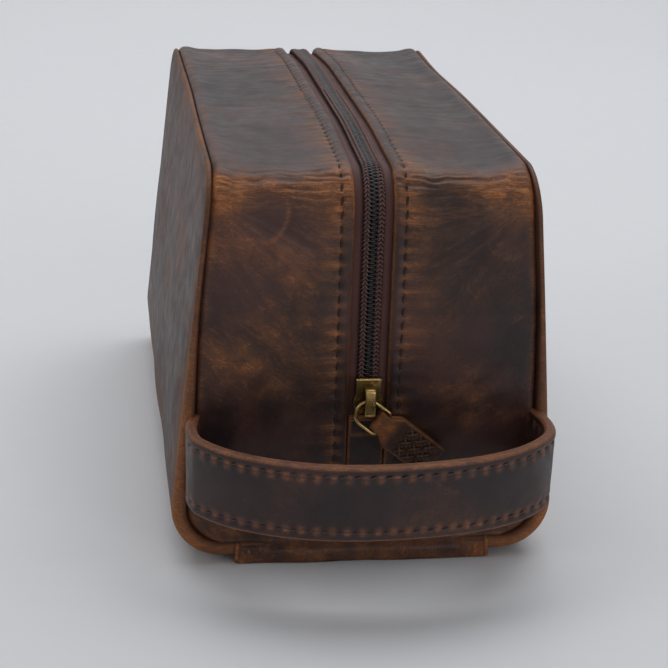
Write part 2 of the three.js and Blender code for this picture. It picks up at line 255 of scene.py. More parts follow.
def settle(piece, body, slot, *nodes):
    """The piece rides on a body and replaces CAD nodes. slot is not used."""
    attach(piece, body)
    if nodes:
        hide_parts(*nodes)


# ---- Materials ----
class Nodes:
    """One node material, and shorthand for filling its tree."""

    def __init__(self, name):
        self.material = bpy.data.materials.new(name)
        self.material.use_nodes = True
        self.tree = self.material.node_tree

    def add(self, kind, inputs, **settings):
        """A node with its settings made and its inputs linked or set."""
        node = self.tree.nodes.new(kind)
        for key, value in settings.items():
            setattr(node, key, value)
        for key, value in inputs.items():
            socket = node.inputs[key]
            if isinstance(value, bpy.types.NodeSocket):
                self.tree.links.new(value, socket)
            elif socket.type == "RGBA":
                socket.default_value = (*value, 1)
            else:
                socket.default_value = value
        return node

    def coords(self, stretch=(1, 1, 1), turn=(0, 0, 0), start=0.0):
        """Object coordinates, turned and then lengthened by stretch along the turned axes."""
        inputs = {"Vector": self.add("ShaderNodeTexCoord", {}).outputs["Object"]}
        inputs |= {"Location": (start, start, 0.0), "Scale": stretch, "Rotation": turn}
        return self.add("ShaderNodeMapping", inputs, vector_type="TEXTURE").outputs["Vector"]

    def axes(self, vector):
        return self.add("ShaderNodeSeparateXYZ", {"Vector": vector}).outputs

    def streaks(self, vector, scale, distortion, width, detail):
        """Thin wandering lines: where a noise passes through its middle value."""
        field = self.noise(vector, scale, detail, 0.6, distortion)
        away = self.math("ABSOLUTE", self.math("SUBTRACT", field, 0.5))
        return self.span(away, 0.0, width, 1.0, 0.0)

    def noise(self, vector, scale, detail=4.0, rough=0.55, distortion=0.0):
        inputs = {"Vector": vector, "Scale": scale, "Detail": detail}
        inputs |= {"Roughness": rough, "Distortion": distortion}
        return self.add("ShaderNodeTexNoise", inputs).outputs["Fac"]

    def math(self, operation, a, b=0.0, limit=False):
        """A calculation; with limit, its result is kept between 0 and 1."""
        settings = {"operation": operation, "use_clamp": limit}
        return self.add("ShaderNodeMath", {0: a, 1: b}, **settings).outputs[0]

    def times(self, a, b):
        return self.math("MULTIPLY", a, b)

    def plus(self, a, b, limit=False):
        return self.math("ADD", a, b, limit)

    def span(self, value, low, high, to_low=0.0, to_high=1.0):
        """value, eased from the range low to high into the range to_low to to_high."""
        inputs = {"Value": value, "From Min": low, "From Max": high}
        inputs |= {"To Min": to_low, "To Max": to_high}
        settings = {"interpolation_type": "SMOOTHSTEP"}
        return self.add("ShaderNodeMapRange", inputs, **settings).outputs["Result"]

    def mix(self, amount, a, b):
        inputs = {"Factor": amount, 6: a, 7: b}
        return self.add("ShaderNodeMix", inputs, data_type="RGBA").outputs[2]

    def attribute(self, name):
        return self.add("ShaderNodeAttribute", {}, attribute_name=name).outputs["Fac"]

    def bump(self, height, strength, distance, normal=None):
        inputs = {"Height": height, "Strength": strength, "Distance": distance}
        if normal is not None:
            inputs["Normal"] = normal
        return self.add("ShaderNodeBump", inputs).outputs["Normal"]

    def finish(self, tone, rough, normal=None, **constants):
        """Links the shader's colour, roughness and normal, and sets its constants."""
        inputs = self.tree.nodes["Principled BSDF"].inputs
        for key, value in (("Base Color", tone), ("Roughness", rough), ("Normal", normal)):
            if value is not None:
                self.tree.links.new(value, inputs[key])
        for key, value in constants.items():
            inputs[key].default_value = value
        return self.material


def leather_material(name, dark, mid, worn, seed=0.0, gloss=0.42, solid=0.12):
    """Waxed pull-up leather: it goes lighter in fine cracked lines where it bends or rubs.
    solid is the part of the wear that shows as plain colour and not as lines."""
    n = Nodes(name)
    here = n.coords(start=seed)
    lengthwise = n.coords((1.0, 2.6, 1.0), (0.0, 0.0, 0.25), seed)
    clouds = n.noise(lengthwise, 22.0, 4.0, 0.6, 0.7)
    blotch = n.noise(lengthwise, 58.0, 6.0, 0.65, 1.2)

    def lines(stretch, turn, *look):
        return n.streaks(n.coords(stretch, turn, seed), *look)

    across = lines((8.0, 1.0, 1.0), (0.0, 0.0, 0.0), 430.0, 0.7, 0.040, 1.5)
    fine = lines((6.0, 1.0, 1.0), (0.1, 0.12, 0.1), 900.0, 0.8, 0.055, 2.0)
    falling = lines((7.0, 1.0, 1.0), (0.1, 0.62, 0.25), 400.0, 0.8, 0.034, 2.0)
    rising = lines((7.0, 1.0, 1.0), (0.1, -0.58, -0.2), 400.0, 0.9, 0.034, 2.0)
    upright = lines((1.0, 1.0, 6.0), (0.06, 0.1, 0.0), 560.0, 1.0, 0.036, 2.0)
    crazed = n.streaks(here, 620.0, 1.6, 0.030, 3.0)

    # The slanted lines fall to the left of the zip and rise to its right.
    x = n.axes(n.add("ShaderNodeTexCoord", {}).outputs["Object"])["X"]
    right = n.span(x, -0.02, 0.02)
    slanted = n.plus(n.times(falling, n.math("SUBTRACT", 1.0, right)), n.times(rising, right))
    bent = n.math("MAXIMUM", across, n.times(fine, 0.75))
    cracked = n.math("MAXIMUM", slanted, n.times(upright, n.times(right, 0.8)))
    cracked = n.math("MAXIMUM", cracked, n.times(crazed, 0.25))
    hide = n.span(blotch, 0.34, 0.66, 0.45, 1.0)
    haze = n.span(n.noise(lengthwise, 110.0, 5.0, 0.62, 0.9), 0.34, 0.68)

    plain = n.plus(n.times(haze, 0.28), solid)
    bend_part = n.times(n.attribute("wear"), n.plus(n.times(bent, 0.62), plain))
    patch_part = n.times(n.attribute("soft"), n.plus(n.times(cracked, 0.42), plain))
    stray = n.times(cracked, n.span(blotch, 0.50, 0.74, 0.01, 0.15))
    rubbed = n.plus(n.plus(bend_part, n.times(patch_part, hide)), stray, True)

    tone = n.mix(n.span(clouds, 0.44, 0.66), dark, mid)
    tone = n.mix(n.span(blotch, 0.55, 0.75, 0.0, 0.6), tone, mid)
    tone = n.mix(rubbed, tone, worn)
    cells = {"Vector": here, "Scale": 1500.0}
    grain = n.add("ShaderNodeTexVoronoi", cells, feature="DISTANCE_TO_EDGE").outputs["Distance"]
    tone = n.mix(n.span(grain, 0.0, 0.12, 0.35, 0.0), tone, dark)

    rough = n.span(n.noise(here, 130.0, 4.0, 0.6), 0.3, 0.7, gloss - 0.06, gloss + 0.08)
    rough = n.plus(rough, n.times(rubbed, 0.30), True)

    normal = n.bump(n.noise(here, 120.0, 4.0, 0.6, 0.5), 0.22, 0.0004)
    normal = n.bump(rubbed, 0.35, 0.00016, normal)
    normal = n.bump(n.span(grain, 0.0, 0.16), 0.25, 0.0001, normal)
    normal = n.bump(n.noise(here, 2600.0, 3.0, 0.6), 0.2, 0.00007, normal)
    return n.finish(tone, rough, normal, **{"Specular IOR Level": 0.40})


def woven_material(name, dark, light, pitch):
    """Woven cloth: two crossing sets of fine ribs, with lint and uneven dye."""
    n = Nodes(name)
    here = n.coords()
    parts = n.axes(here)
    run = n.plus(parts["Y"], parts["Z"])
    turns = 2 * pi / (pitch * MM)

    def ribs(value):
        return n.math("SINE", n.times(value, turns))

    twill = ribs(n.plus(parts["X"], run))
    weave = n.plus(n.times(ribs(parts["X"]), ribs(run)), n.times(twill, 0.6))
    dye = n.noise(here, 60.0, 5.0, 0.6)
    lint = n.noise(here, 1800.0, 3.0, 0.7)
    tone = n.mix(n.span(weave, -1.0, 1.2, 0.1, 0.9), dark, light)
    tone = n.mix(n.span(dye, 0.35, 0.7, 0.0, 0.4), tone, dark)
    tone = n.mix(n.span(lint, 0.62, 0.8, 0.0, 0.35), tone, light)
    normal = n.bump(lint, 0.3, 0.00008, n.bump(weave, 0.5, 0.00012))
    return n.finish(tone, n.span(lint, 0.2, 0.8, 0.7, 0.9), normal, **{"Sheen Weight": 0.15})


def thread_material(name, dark, light):
    """Twisted thread, a little uneven in colour and shine."""
    n = Nodes(name)
    twist = n.noise(n.coords((1, 1, 1), (0.6, 0.4, 0.3)), 1900.0, 3.0, 0.6, 0.5)
    tone = n.mix(n.span(twist, 0.35, 0.68), dark, light)
    return n.finish(tone, n.span(twist, 0.2, 0.8, 0.48, 0.72), n.bump(twist, 0.6, 0.0001))


def nylon_material(name, dark, light):
    """Smooth nylon with a little dust."""
    n = Nodes(name)
    dust = n.noise(n.coords(), 700.0, 5.0, 0.65)
    tone = n.mix(n.span(dust, 0.4, 0.75, 0.0, 0.8), dark, light)
    return n.finish(tone, n.span(dust, 0.3, 0.7, 0.22, 0.5), n.bump(dust, 0.25, 0.00008))


def brass_material(name, shade, bright):
    """Antiqued brass: dark in the hollows, rubbed bright on the raised edges."""
    n = Nodes(name)
    here = n.coords()
    tarnish = n.noise(here, 380.0, 6.0, 0.65, 0.6)
    speck = n.noise(here, 1500.0, 4.0, 0.7)
    scratch = n.noise(n.coords((1, 1, 0.08), (0.3, 0.2, 0.5)), 3200.0, 3.0, 0.6)
    rub = n.plus(n.span(tarnish, 0.42, 0.7, 0.0, 0.42), n.attribute("wear"), True)
    tone = n.mix(rub, shade, bright)
    tone = n.mix(n.span(speck, 0.6, 0.75, 0.0, 0.5), tone, shade)
    rough = n.span(tarnish, 0.3, 0.7, 0.38, 0.22)
    rough = n.plus(rough, n.span(speck, 0.4, 0.8, 0.0, 0.16), True)
    normal = n.bump(speck, 0.2, 0.00006, n.bump(scratch, 0.15, 0.00006))
    return n.finish(tone, rough, normal, Metallic=1.0)


def board_material(name, dark, light):
    """Grey pulp board."""
    n = Nodes(name)
    pulp = n.noise(n.coords(), 900.0, 6.0, 0.7)
    tone = n.mix(n.span(pulp, 0.35, 0.7), dark, light)
    return n.finish(tone, n.span(pulp, 0.3, 0.7, 0.8, 0.95), n.bump(pulp, 0.3, 0.0002))


def paper_material(name, tone_a, tone_b):
    """The studio's pale paper."""
    n = Nodes(name)
    here = n.coords()
    tone = n.mix(n.noise(here, 1.5, 3.0, 0.5), tone_a, tone_b)
    rough = n.span(n.noise(here, 90.0), 0.3, 0.7, 0.55, 0.7)
    return n.finish(tone, rough, **{"Specular IOR Level": 0.3})


LEATHER = leather_material(
    "bag_leather",
    (0.0165, 0.0064, 0.0058),
    (0.057, 0.0220, 0.0188),
    (0.46, 0.165, 0.046),
    gloss=0.38,
    solid=0.24,
)
ROLL_LEATHER = leather_material(
    "roll_leather",
    (0.034, 0.0130, 0.0085),
    (0.066, 0.0250, 0.0150),
    (0.38, 0.138, 0.042),
    seed=3.7,
    gloss=0.50,
    solid=0.46,
)
STRAP_LEATHER = leather_material(
    "strap_leather",
    (0.019, 0.0090, 0.0090),
    (0.036, 0.0160, 0.0145),
    (0.30, 0.115, 0.050),
    seed=8.1,
    gloss=0.40,
    solid=0.36,
)
PULL_LEATHER = leather_material(
    "pull_leather",
    (0.013, 0.0060, 0.0045),
    (0.028, 0.0115, 0.0068),
    (0.34, 0.118, 0.030),
    seed=5.3,
    gloss=0.42,
    solid=0.42,
)
LINING = woven_material("lining_cloth", (0.035, 0.024, 0.017), (0.075, 0.052, 0.036), 0.55)
TAPE = woven_material("zip_tape", (0.050, 0.0185, 0.0150), (0.200, 0.080, 0.066), 0.62)
COIL = nylon_material("zip_coil", (0.006, 0.004, 0.004), (0.046, 0.030, 0.026))
COIL_THREAD = thread_material("coil_thread", (0.050, 0.021, 0.017), (0.20, 0.095, 0.078))
THREAD = thread_material("stitch_thread", (0.007, 0.004, 0.003), (0.034, 0.017, 0.011))
STRAP_THREAD = thread_material("strap_thread", (0.022, 0.011, 0.008), (0.115, 0.054, 0.034))
PULL_THREAD = thread_material("pull_thread", (0.024, 0.011, 0.006), (0.17, 0.078, 0.032))
BRASS = brass_material("antique_brass", (0.040, 0.024, 0.007), (0.66, 0.45, 0.17))
# A darker copy of the brass for the slider's plates: partly their own darker finish, partly painted shade on
# their flat faces.
DARK_BRASS = brass_material("dark_brass", (0.030, 0.018, 0.005), (0.40, 0.27, 0.09))
BOARD = board_material("base_board", (0.09, 0.065, 0.045), (0.16, 0.12, 0.085))
PAPER = paper_material("studio_paper", (0.70, 0.70, 0.71), (0.74, 0.74, 0.75))

# ---- Camera, lights and floor ----
stage_scene = bpy.context.scene
stage_scene.view_settings.view_transform = "Standard"

SENSOR = 36.0
IMAGE_WIDTH = 668
FOCAL_PIXELS = 1800
CAMERA_AT = Vector((-96.5, -703.7, 287.3))
CAMERA_TURNS = ((-8.21, "Z"), (90 - 18.97, "X"), (1.96, "Z"))
camera_data = bpy.data.cameras.new("camera")
camera_data.sensor_width = SENSOR
camera_data.lens = SENSOR * FOCAL_PIXELS / IMAGE_WIDTH
camera_data.clip_start = 0.01
camera = bpy.data.objects.new("camera", camera_data)
stage_scene.collection.objects.link(camera)
camera_place = Matrix.Translation(CAMERA_AT * MM)
for degrees, axis in CAMERA_TURNS:
    camera_place = camera_place @ Matrix.Rotation(radians(degrees), 4, axis)
camera.matrix_world = camera_place
stage_scene.camera = camera

WALL_Y, WALL_TOP, WALL_BEND = 1350.0, 2600.0, 420.0
FLOOR_HALF = 4200.0


def make_stage():
    """A pale floor that sweeps up into a pale wall behind the bag."""
    start = WALL_Y - WALL_BEND
    profile = [(-FLOOR_HALF, 0.0), (0.0, 0.0)]
    for t in steps(16):
        angle = pi / 2 * t
        profile.append((start + WALL_BEND * sin(angle), WALL_BEND * (1 - cos(angle))))
    profile.append((WALL_Y, WALL_TOP))
    xs = (-FLOOR_HALF, -FLOOR_HALF / 3, FLOOR_HALF / 3, FLOOR_HALF)
    made = Builder()
    made.grid([[(Vector((x, y, z)), 0.0) for x in xs] for y, z in profile])
    made.build("studio_floor", PAPER)


make_stage()
# Each light's place, aim, size, power and colour.
for name, at, look, size, power, colour in (
    ("overhead", (0.1, 0.62, 1.8), (0, 0.05, 0), (2.6, 1.8), 34.0, (0.95, 0.975, 1.0)),
    ("window", (-1.6, -0.5, 1.1), (0, 0, 0.05), (1.0, 1.0), 3.4, (1.0, 0.985, 0.965)),
    ("door", (1.0, -1.7, 0.46), (0, 0, 0.08), (0.8, 0.6), 4.3, (0.93, 0.94, 1.0)),
    ("low_room", (-0.25, -1.9, 0.46), (0, 0, 0.09), (1.3, 0.5), 1.3, (0.97, 0.97, 1.0)),
    ("room", (0.2, -1.9, 1.5), (0, 0, 0.05), (1.4, 1.0), 3.0, (1.0, 0.98, 0.96)),
):
    lamp = bpy.data.lights.new(name, "AREA")
    lamp.shape = "RECTANGLE"
    lamp.size, lamp.size_y = size
    lamp.energy = power
    lamp.color = colour
    light = bpy.data.objects.new(name, lamp)
    light.location = at
    light.rotation_euler = (Vector(look) - Vector(at)).to_track_quat("-Z", "Y").to_euler()
    stage_scene.collection.objects.link(light)

world = bpy.data.worlds.new("studio")
world.use_nodes = True
world_inputs = world.node_tree.nodes["Background"].inputs
world_inputs["Color"].default_value = (0.90, 0.94, 1.0, 1)
world_inputs["Strength"].default_value = 0.15
stage_scene.world = world

# ---- Side panels, with their rolled seams ----
SIDE_THICK = 1.4
SIDE_TOP = TOP_Z - 0.2
FLAT_A = CORNER_X - WRAP_X
ARC_A = CORNER_R * (pi / 2 + LEAN)
BEND_A = FLAT_A + ARC_A
WALL_A = (SIDE_TOP - CORNER_Z - CORNER_R * sin(LEAN)) / cos(LEAN)
FULL_A = FLAT_A + ARC_A + WALL_A
SIDE_END = side_high.y - 0.2
CORNER_RY = SIDE_END - BEND_Y
CORNER_RZ = SIDE_TOP - BEND_Z


def bead(z):
    """Widths of the rolled seam's outer and inner quarters at height z: fuller low down."""
    t = smooth(104.0, 34.0, z)
    return lerp(1.1, 3.2, t), lerp(0.8, 2.0, t)


def end_curve(a):
    """The side panel's outline in the end view, by distance a from its inner edge under the bag:
    (x, z) and the outward direction (nx, nz), for the right side."""
    if a <= FLAT_A:
        return WRAP_X + a, FLOOR_Z, 0.0, -1.0
    angle = (a - FLAT_A) / CORNER_R - pi / 2 if a <= BEND_A else LEAN
    nx, nz = cos(angle), sin(angle)
    up = max(0.0, a - FLAT_A - ARC_A)
    return CORNER_X + CORNER_R * nx - up * nz, CORNER_Z + CORNER_R * nz + up * nx, nx, nz


def drawn_in(side, y, z):
    """How far the top's side edge is pulled towards the zip, most on the right past the middle."""
    pull = 1.4 * bell(y - 62.0, 38.0) if side > 0 else 0.5 * bell(y - 20.0, 45.0)
    return pull * smooth(95.0, TOP_Z, z)


def side_reach(z):
    """Half the side panel's length at height z: less where its upper corners are round."""
    if z <= BEND_Z:
        return SIDE_END
    t = clamp((z - BEND_Z) / CORNER_RZ)
    return BEND_Y + CORNER_RY * sqrt(max(0.0, 1 - t * t))


def edge_distance(y, z):
    """Distance from the side panel's edge, and the outward direction in (y, z) at that edge."""
    ay, sign = abs(y), copysign(1.0, y)
    if z > BEND_Z and ay > BEND_Y:
        u, v = (ay - BEND_Y) / CORNER_RY, (z - BEND_Z) / CORNER_RZ
        length = hypot(u / CORNER_RY, v / CORNER_RZ) or 1.0
        out = (sign * u / CORNER_RY / length, v / CORNER_RZ / length)
        return (1 - hypot(u, v)) * (CORNER_RY + CORNER_RZ) / 2, out
    to_end = SIDE_END - ay
    to_top = SIDE_TOP - z
    return (to_end, (sign, 0.0)) if to_end < to_top else (to_top, (0.0, 1.0))


def side_point(side, a, y):
    """A point on the side panel's outside, its two wear values, normal and edge direction."""
    x, z, nx, nz = end_curve(a)
    distance, out = edge_distance(y, z)
    outer, _ = bead(z)

    def patches(scale, seed):
        return rough_noise(side * 40, y, z, scale, seed)

    dip = 0.0
    if distance < outer:
        dip = outer - sqrt(max(0.0, outer**2 - (outer - max(0.0, distance)) ** 2))
    inside = smooth(0.0, 26.0, distance)
    wall = smooth(FLAT_A, FLAT_A + 40.0, a)
    swell = 1.6 * wall * inside * sin(pi * clamp((z - 8.0) / 145.0))
    lumps = 0.7 * inside * wall * patches(55.0, 1.7)
    lumps += 0.08 * smooth(2.0, 12.0, distance) * wall * patches(30.0, 4.1)
    valley = -0.35 * bell(distance - outer - 2.2, 1.6) * wall
    lift = swell + lumps + valley - dip

    rubbed = 0.5 + 0.5 * patches(19.0, 7.7)
    worn = lerp(0.55, 0.90, smooth(120.0, 20.0, z))
    worn *= bell(distance - outer * 0.6, outer * 0.7 + 0.9) * clamp(0.5 + 0.8 * rubbed)
    worn = max(worn, 0.30 * bell(distance - outer - 5.5, 3.0) * clamp(rubbed))
    normal = Vector((side * nx, 0.0, nz))
    up = Vector((-side * sin(LEAN), 0.0, cos(LEAN)))
    if a < BEND_A:
        worn = max(worn, 0.5 * smooth(FLAT_A * 0.5, FLAT_A + 8.0, a) * clamp(rubbed))
        up = Vector((-side * nz, 0.0, nx))
    soft = 0.34 * clamp(patches(27.0, 3.3)) + 0.35 * smooth(30.0, 10.0, z)
    edge = Vector((0.0, out[0], 0.0)) + up * out[1]
    co = Vector((side * (x - drawn_in(side, y, z)), y, z)) + normal * lift
    return co, worn, clamp(soft), normal, edge.normalized()


def quarter(outer):
    """Distances from the panel's edge to the top of its rolled seam."""
    return [outer * (1 - cos(radians(angle))) for angle in (0, 18, 36, 54, 72, 90)]


def side_lengths(reach, outer, count=48):
    """Positions from -reach to reach, closer together near both ends."""
    near = quarter(outer) + [outer + 1.3, outer + 2.8, outer + 4.6, outer + 7.0]
    inner = reach - near[-1]
    middle = [-inner + 2 * inner * i / count for i in range(1, count)]
    return [-reach + d for d in near] + middle + [reach - d for d in reversed(near)]


def side_heights(count=46):
    """Distances a from the panel's inner edge to its top, closer together round the corner."""
    values = [FLAT_A * t for t in (0, 0.5, 0.85)]
    values += [FLAT_A + ARC_A * t for t in steps(16)]
    values += [lerp(BEND_A, FULL_A - 9.0, i / count) for i in range(1, count)]
    values += [FULL_A - d for d in (9.0, 7.2, 5.6, 4.2, 3.0, 2.2)]
    return values + [FULL_A - d for d in reversed(quarter(bead(TOP_Z)[0]))]


def make_side(name, side):
    """One side panel: its outside, then the roll round its edge and the hidden seam allowance."""
    rows, left_edge, right_edge = [], [], []
    for a in side_heights():
        z = end_curve(a)[1]
        outer, inner = bead(z)
        cells = [side_point(side, a, y) for y in side_lengths(side_reach(z), outer)]
        rows.append([cell[:3] for cell in cells])
        left_edge.append((cells[0], inner))
        right_edge.append((cells[-1], inner))
    top_edge = [(cell, inner) for cell in cells]
    made = Builder()
    made.grid(rows)
    strip = []
    for (co, worn, soft, normal, edge), inner in left_edge + top_edge[1:-1] + right_edge[::-1]:
        line = [(co, worn, soft)]
        for angle in (22, 45, 67, 90):
            t = radians(angle)
            shift = -normal * (inner * sin(t)) - edge * (inner * (1 - cos(t)))
            line.append((co + shift, worn * lerp(1.0, 0.2, angle / 90), soft * 0.5))
        last = co - normal * inner - edge * inner
        line.append((last - edge * 1.6 - normal * 0.3, 0.0))
        line.append((last - edge * 3.2 - normal * 1.2, 0.0))
        strip.append(line)
    made.grid(strip)
    piece = made.build(name, ROLL_LEATHER, merge=0.01)
    thicken(piece, SIDE_THICK)
    return piece


# ---- Gusset: two strips from hem to hem over the top, each made in two halves ----
GUSSET_THICK = 0.9
LOW_Z = 0.5  # height of the hem
SEAM_FOOT = FLOOR_Z + 5.3  # below this the hem stands in front of the rolled seam
HEM_X = base_high.x - 0.6
FACE_RUN = BEND_Z - LOW_Z
FOLD_RUN = BEND_R * pi / 2
TOP_START = FACE_RUN + FOLD_RUN
HALF_RUN = TOP_START + BEND_Y
CREASE_RUN = FACE_RUN + 9.5  # where the fold's creases are closest
CROWN = 3.4  # how far the top rises towards the zip


def parting(z):
    """0 low down, where the two lips meet, and 1 where they stand apart for the zip."""
    return smooth(28.0, 36.0, z)


def inner_x(z):
    """The lip's inner edge at height z."""
    return LIP_X * sqrt(parting(z))


def groove_x(z):
    """Where the gusset meets the rolled seam at height z; under the seam, its own cut edge."""
    if z < SEAM_FOOT:
        return lerp(HEM_X, groove_x(SEAM_FOOT), smooth(SEAM_FOOT - 1.6, SEAM_FOOT, z))
    outer, inner = bead(z)
    if z < CORNER_Z:
        radius = CORNER_R - outer - inner
        drop = min(CORNER_Z - z, radius * 0.999)
        return CORNER_X + sqrt(radius**2 - drop**2)
    up = (z - CORNER_Z - CORNER_R * sin(LEAN)) / cos(LEAN)
    return CORNER_X + CORNER_R * cos(LEAN) - up * sin(LEAN) - outer - inner


def run_point(s):
    """Distance from the bag's middle along Y, height, and the outward direction in the same
    plane, s mm along the gusset's run from its hem."""
    if s <= FACE_RUN:
        return END_Y, LOW_Z + s, 1.0, 0.0
    if s <= TOP_START:
        angle = (s - FACE_RUN) / BEND_R
        c, k = cos(angle), sin(angle)
        return BEND_Y + BEND_R * c, BEND_Z + BEND_R * k, c, k
    return HALF_RUN - s, TOP_Z, 0.0, 1.0


def run_normal(end, s):
    _, _, ny, nz = run_point(s)
    return Vector((0, end * ny, nz))


def place(end, side, s, across, lift):
    """The 3-D point at a distance across from the zip, raised by lift from the gusset's run."""
    y, z, ny, nz = run_point(s)
    lift += CROWN * smooth(FACE_RUN + FOLD_RUN * 0.4, TOP_START + 60.0, s) * bell(across, 36.0)
    return Vector((side * across, end * (y + ny * lift), z + nz * lift))


STITCH_IN = 4.4  # distance of the stitch row from the lip's edge
STITCH_X = LIP_X + STITCH_IN
STITCH_START = 26.0
STITCH_COUNT = round((HALF_RUN - STITCH_START) / 4.9)
STITCH_PITCH = (HALF_RUN - STITCH_START) / STITCH_COUNT


def stitch_wave(along, pitch):
    """1 in the middle of a stitch, 0 half-way between two stitches."""
    return 0.5 - 0.5 * cos(2 * pi * along / pitch)


def crease_field(end, side, s, across, along):
    """Folds where the leather turns over the top: long creases across, tight at the stitches."""
    fold = s - CREASE_RUN
    tight = bell(across - STITCH_X - 2.0, 9.0)
    band = bell(fold, 8.0 + 4.5 * tight)
    corner = bell(across - 50.0, 9.0)
    broken = clamp(0.66 + 0.70 * rough_noise(side * across, along, 3.0, 15.0, 1.9))
    broken = max(broken, 0.8 * tight, 0.7 * corner)
    warp = 2.8 * waver(across / 17.0, along / 30.0, side * 3.1)
    warp += 1.0 * waver(across / 5.0, along / 9.0, side * 4.7)
    ridge = 1 - abs(waver(across / 26.0, (along + warp) / 2.4, side * 5.3)) * 2.4
    hair = 1 - abs(waver(across / 11.0, (along + warp) / 1.2, side * 6.1)) * 2.6
    lift = band * (0.40 + 0.80 * tight + 0.45 * corner) * (0.54 * ridge + 0.18 * hair - 0.22)
    lines = clamp((ridge - 0.30) * 1.5) * (0.55 + 0.75 * tight) + 0.45 * clamp(hair)
    worn = band * broken * clamp(0.16 + 1.25 * lines + 0.40 * corner + 0.2 * tight)

    # Slack folds that fall away from the top corner over the face.
    fan_x, fan_s = 60.0 - across, FACE_RUN + 10.0 - s
    reach, ray = hypot(fan_x, fan_s), atan2(fan_s, fan_x)
    fan = bell(ray - 0.70, 0.36) * smooth(4.0, 14.0, reach) * smooth(72.0, 40.0, reach)
    folds = waver(ray * 9.0, reach / 55.0, end * 2.2 + side)
    lift += 0.42 * fan * (1 - abs(folds) * 2.6)
    rub = clamp(0.62 + 0.6 * rough_noise(side * across, along, 9.0, 9.0, 3.6))
    soft = fan * (0.16 + 0.44 * clamp(1.2 - abs(folds) * 3.2))
    soft += 0.95 * rub * bell(across - 54.0, 11.0) * bell(s - FACE_RUN + 4.0, 13.0)

    # A hollow beside the creases and, on the near left and far right, one curved crease.
    if end * side > 0:
        hollow = bell(across - 31.0, 13.0) * bell(s - FACE_RUN + 2.5, 5.0)
        down, aside = (s - FACE_RUN - 2.5) / 1.35, across - 37.5
        turn = atan2(-aside, -down)
        ring = bell(hypot(aside, down) - 8.2, 0.6)
        ring *= smooth(-0.5, 0.3, turn) * smooth(2.2, 1.6, turn)
    else:
        hollow = bell(across - 20.5, 10.0) * bell(s - FACE_RUN - 7.5, 6.5)
        worn += 0.30 * band * bell(across - 46.0, 11.0)
        soft *= 0.45
        ring = 0.0
    lift -= 0.55 * hollow + 0.16 * ring
    # In the hollow the lighter wear and patches are taken out: painted shade over the real dip.
    worn = worn * (1.0 - 0.95 * hollow) + 0.42 * ring
    soft *= 1.0 - 0.95 * hollow

    # Fine marks across the top.
    over = smooth(FACE_RUN + 18.0, FACE_RUN + 40.0, s)
    marks = abs(waver(across / 38.0, (along + warp) / 6.5, side * 8.8))
    lift += 0.15 * over * (1 - marks * 3.0)
    worn += 0.07 * over * clamp(1 - marks * 8.0)
    return lift, worn, soft


def patch_field(end, side, across, z, point):
    """Cloudy patches where the wax has been pulled out of the leather."""
    patch = 0.60 * clamp(0.9 * rough_noise(point.x, point.y / 2.4, point.z, 21.0, 5.9) - 0.28)
    patch *= 1.0 - 0.6 * smooth(TOP_Z - 12.0, TOP_Z - 2.0, z)
    if end < 0:
        patch *= 1.0 - (0.60 if side > 0 else 0.25) * smooth(TOP_Z, TOP_Z - 26.0, z)
        if side < 0:
            patch += 1.15 * bell(hypot((across - 40.0) * 0.75, z - 76.0), 13.0)
        else:
            patch += 0.50 * bell(across - 34.0, 8.0) * bell(z - 63.0, 13.0)
        patch += 0.22 * bell(hypot(across - 22.0, z - 92.0), 14.0) * (1.0 if side > 0 else 0.5)
    patch += 0.70 * smooth(34.0, 12.0, z)
    return patch * clamp(0.75 + 0.5 * rough_noise(*point, 7.0, 2.1))


TURNED = 1.3  # radius of the lip's turned edge


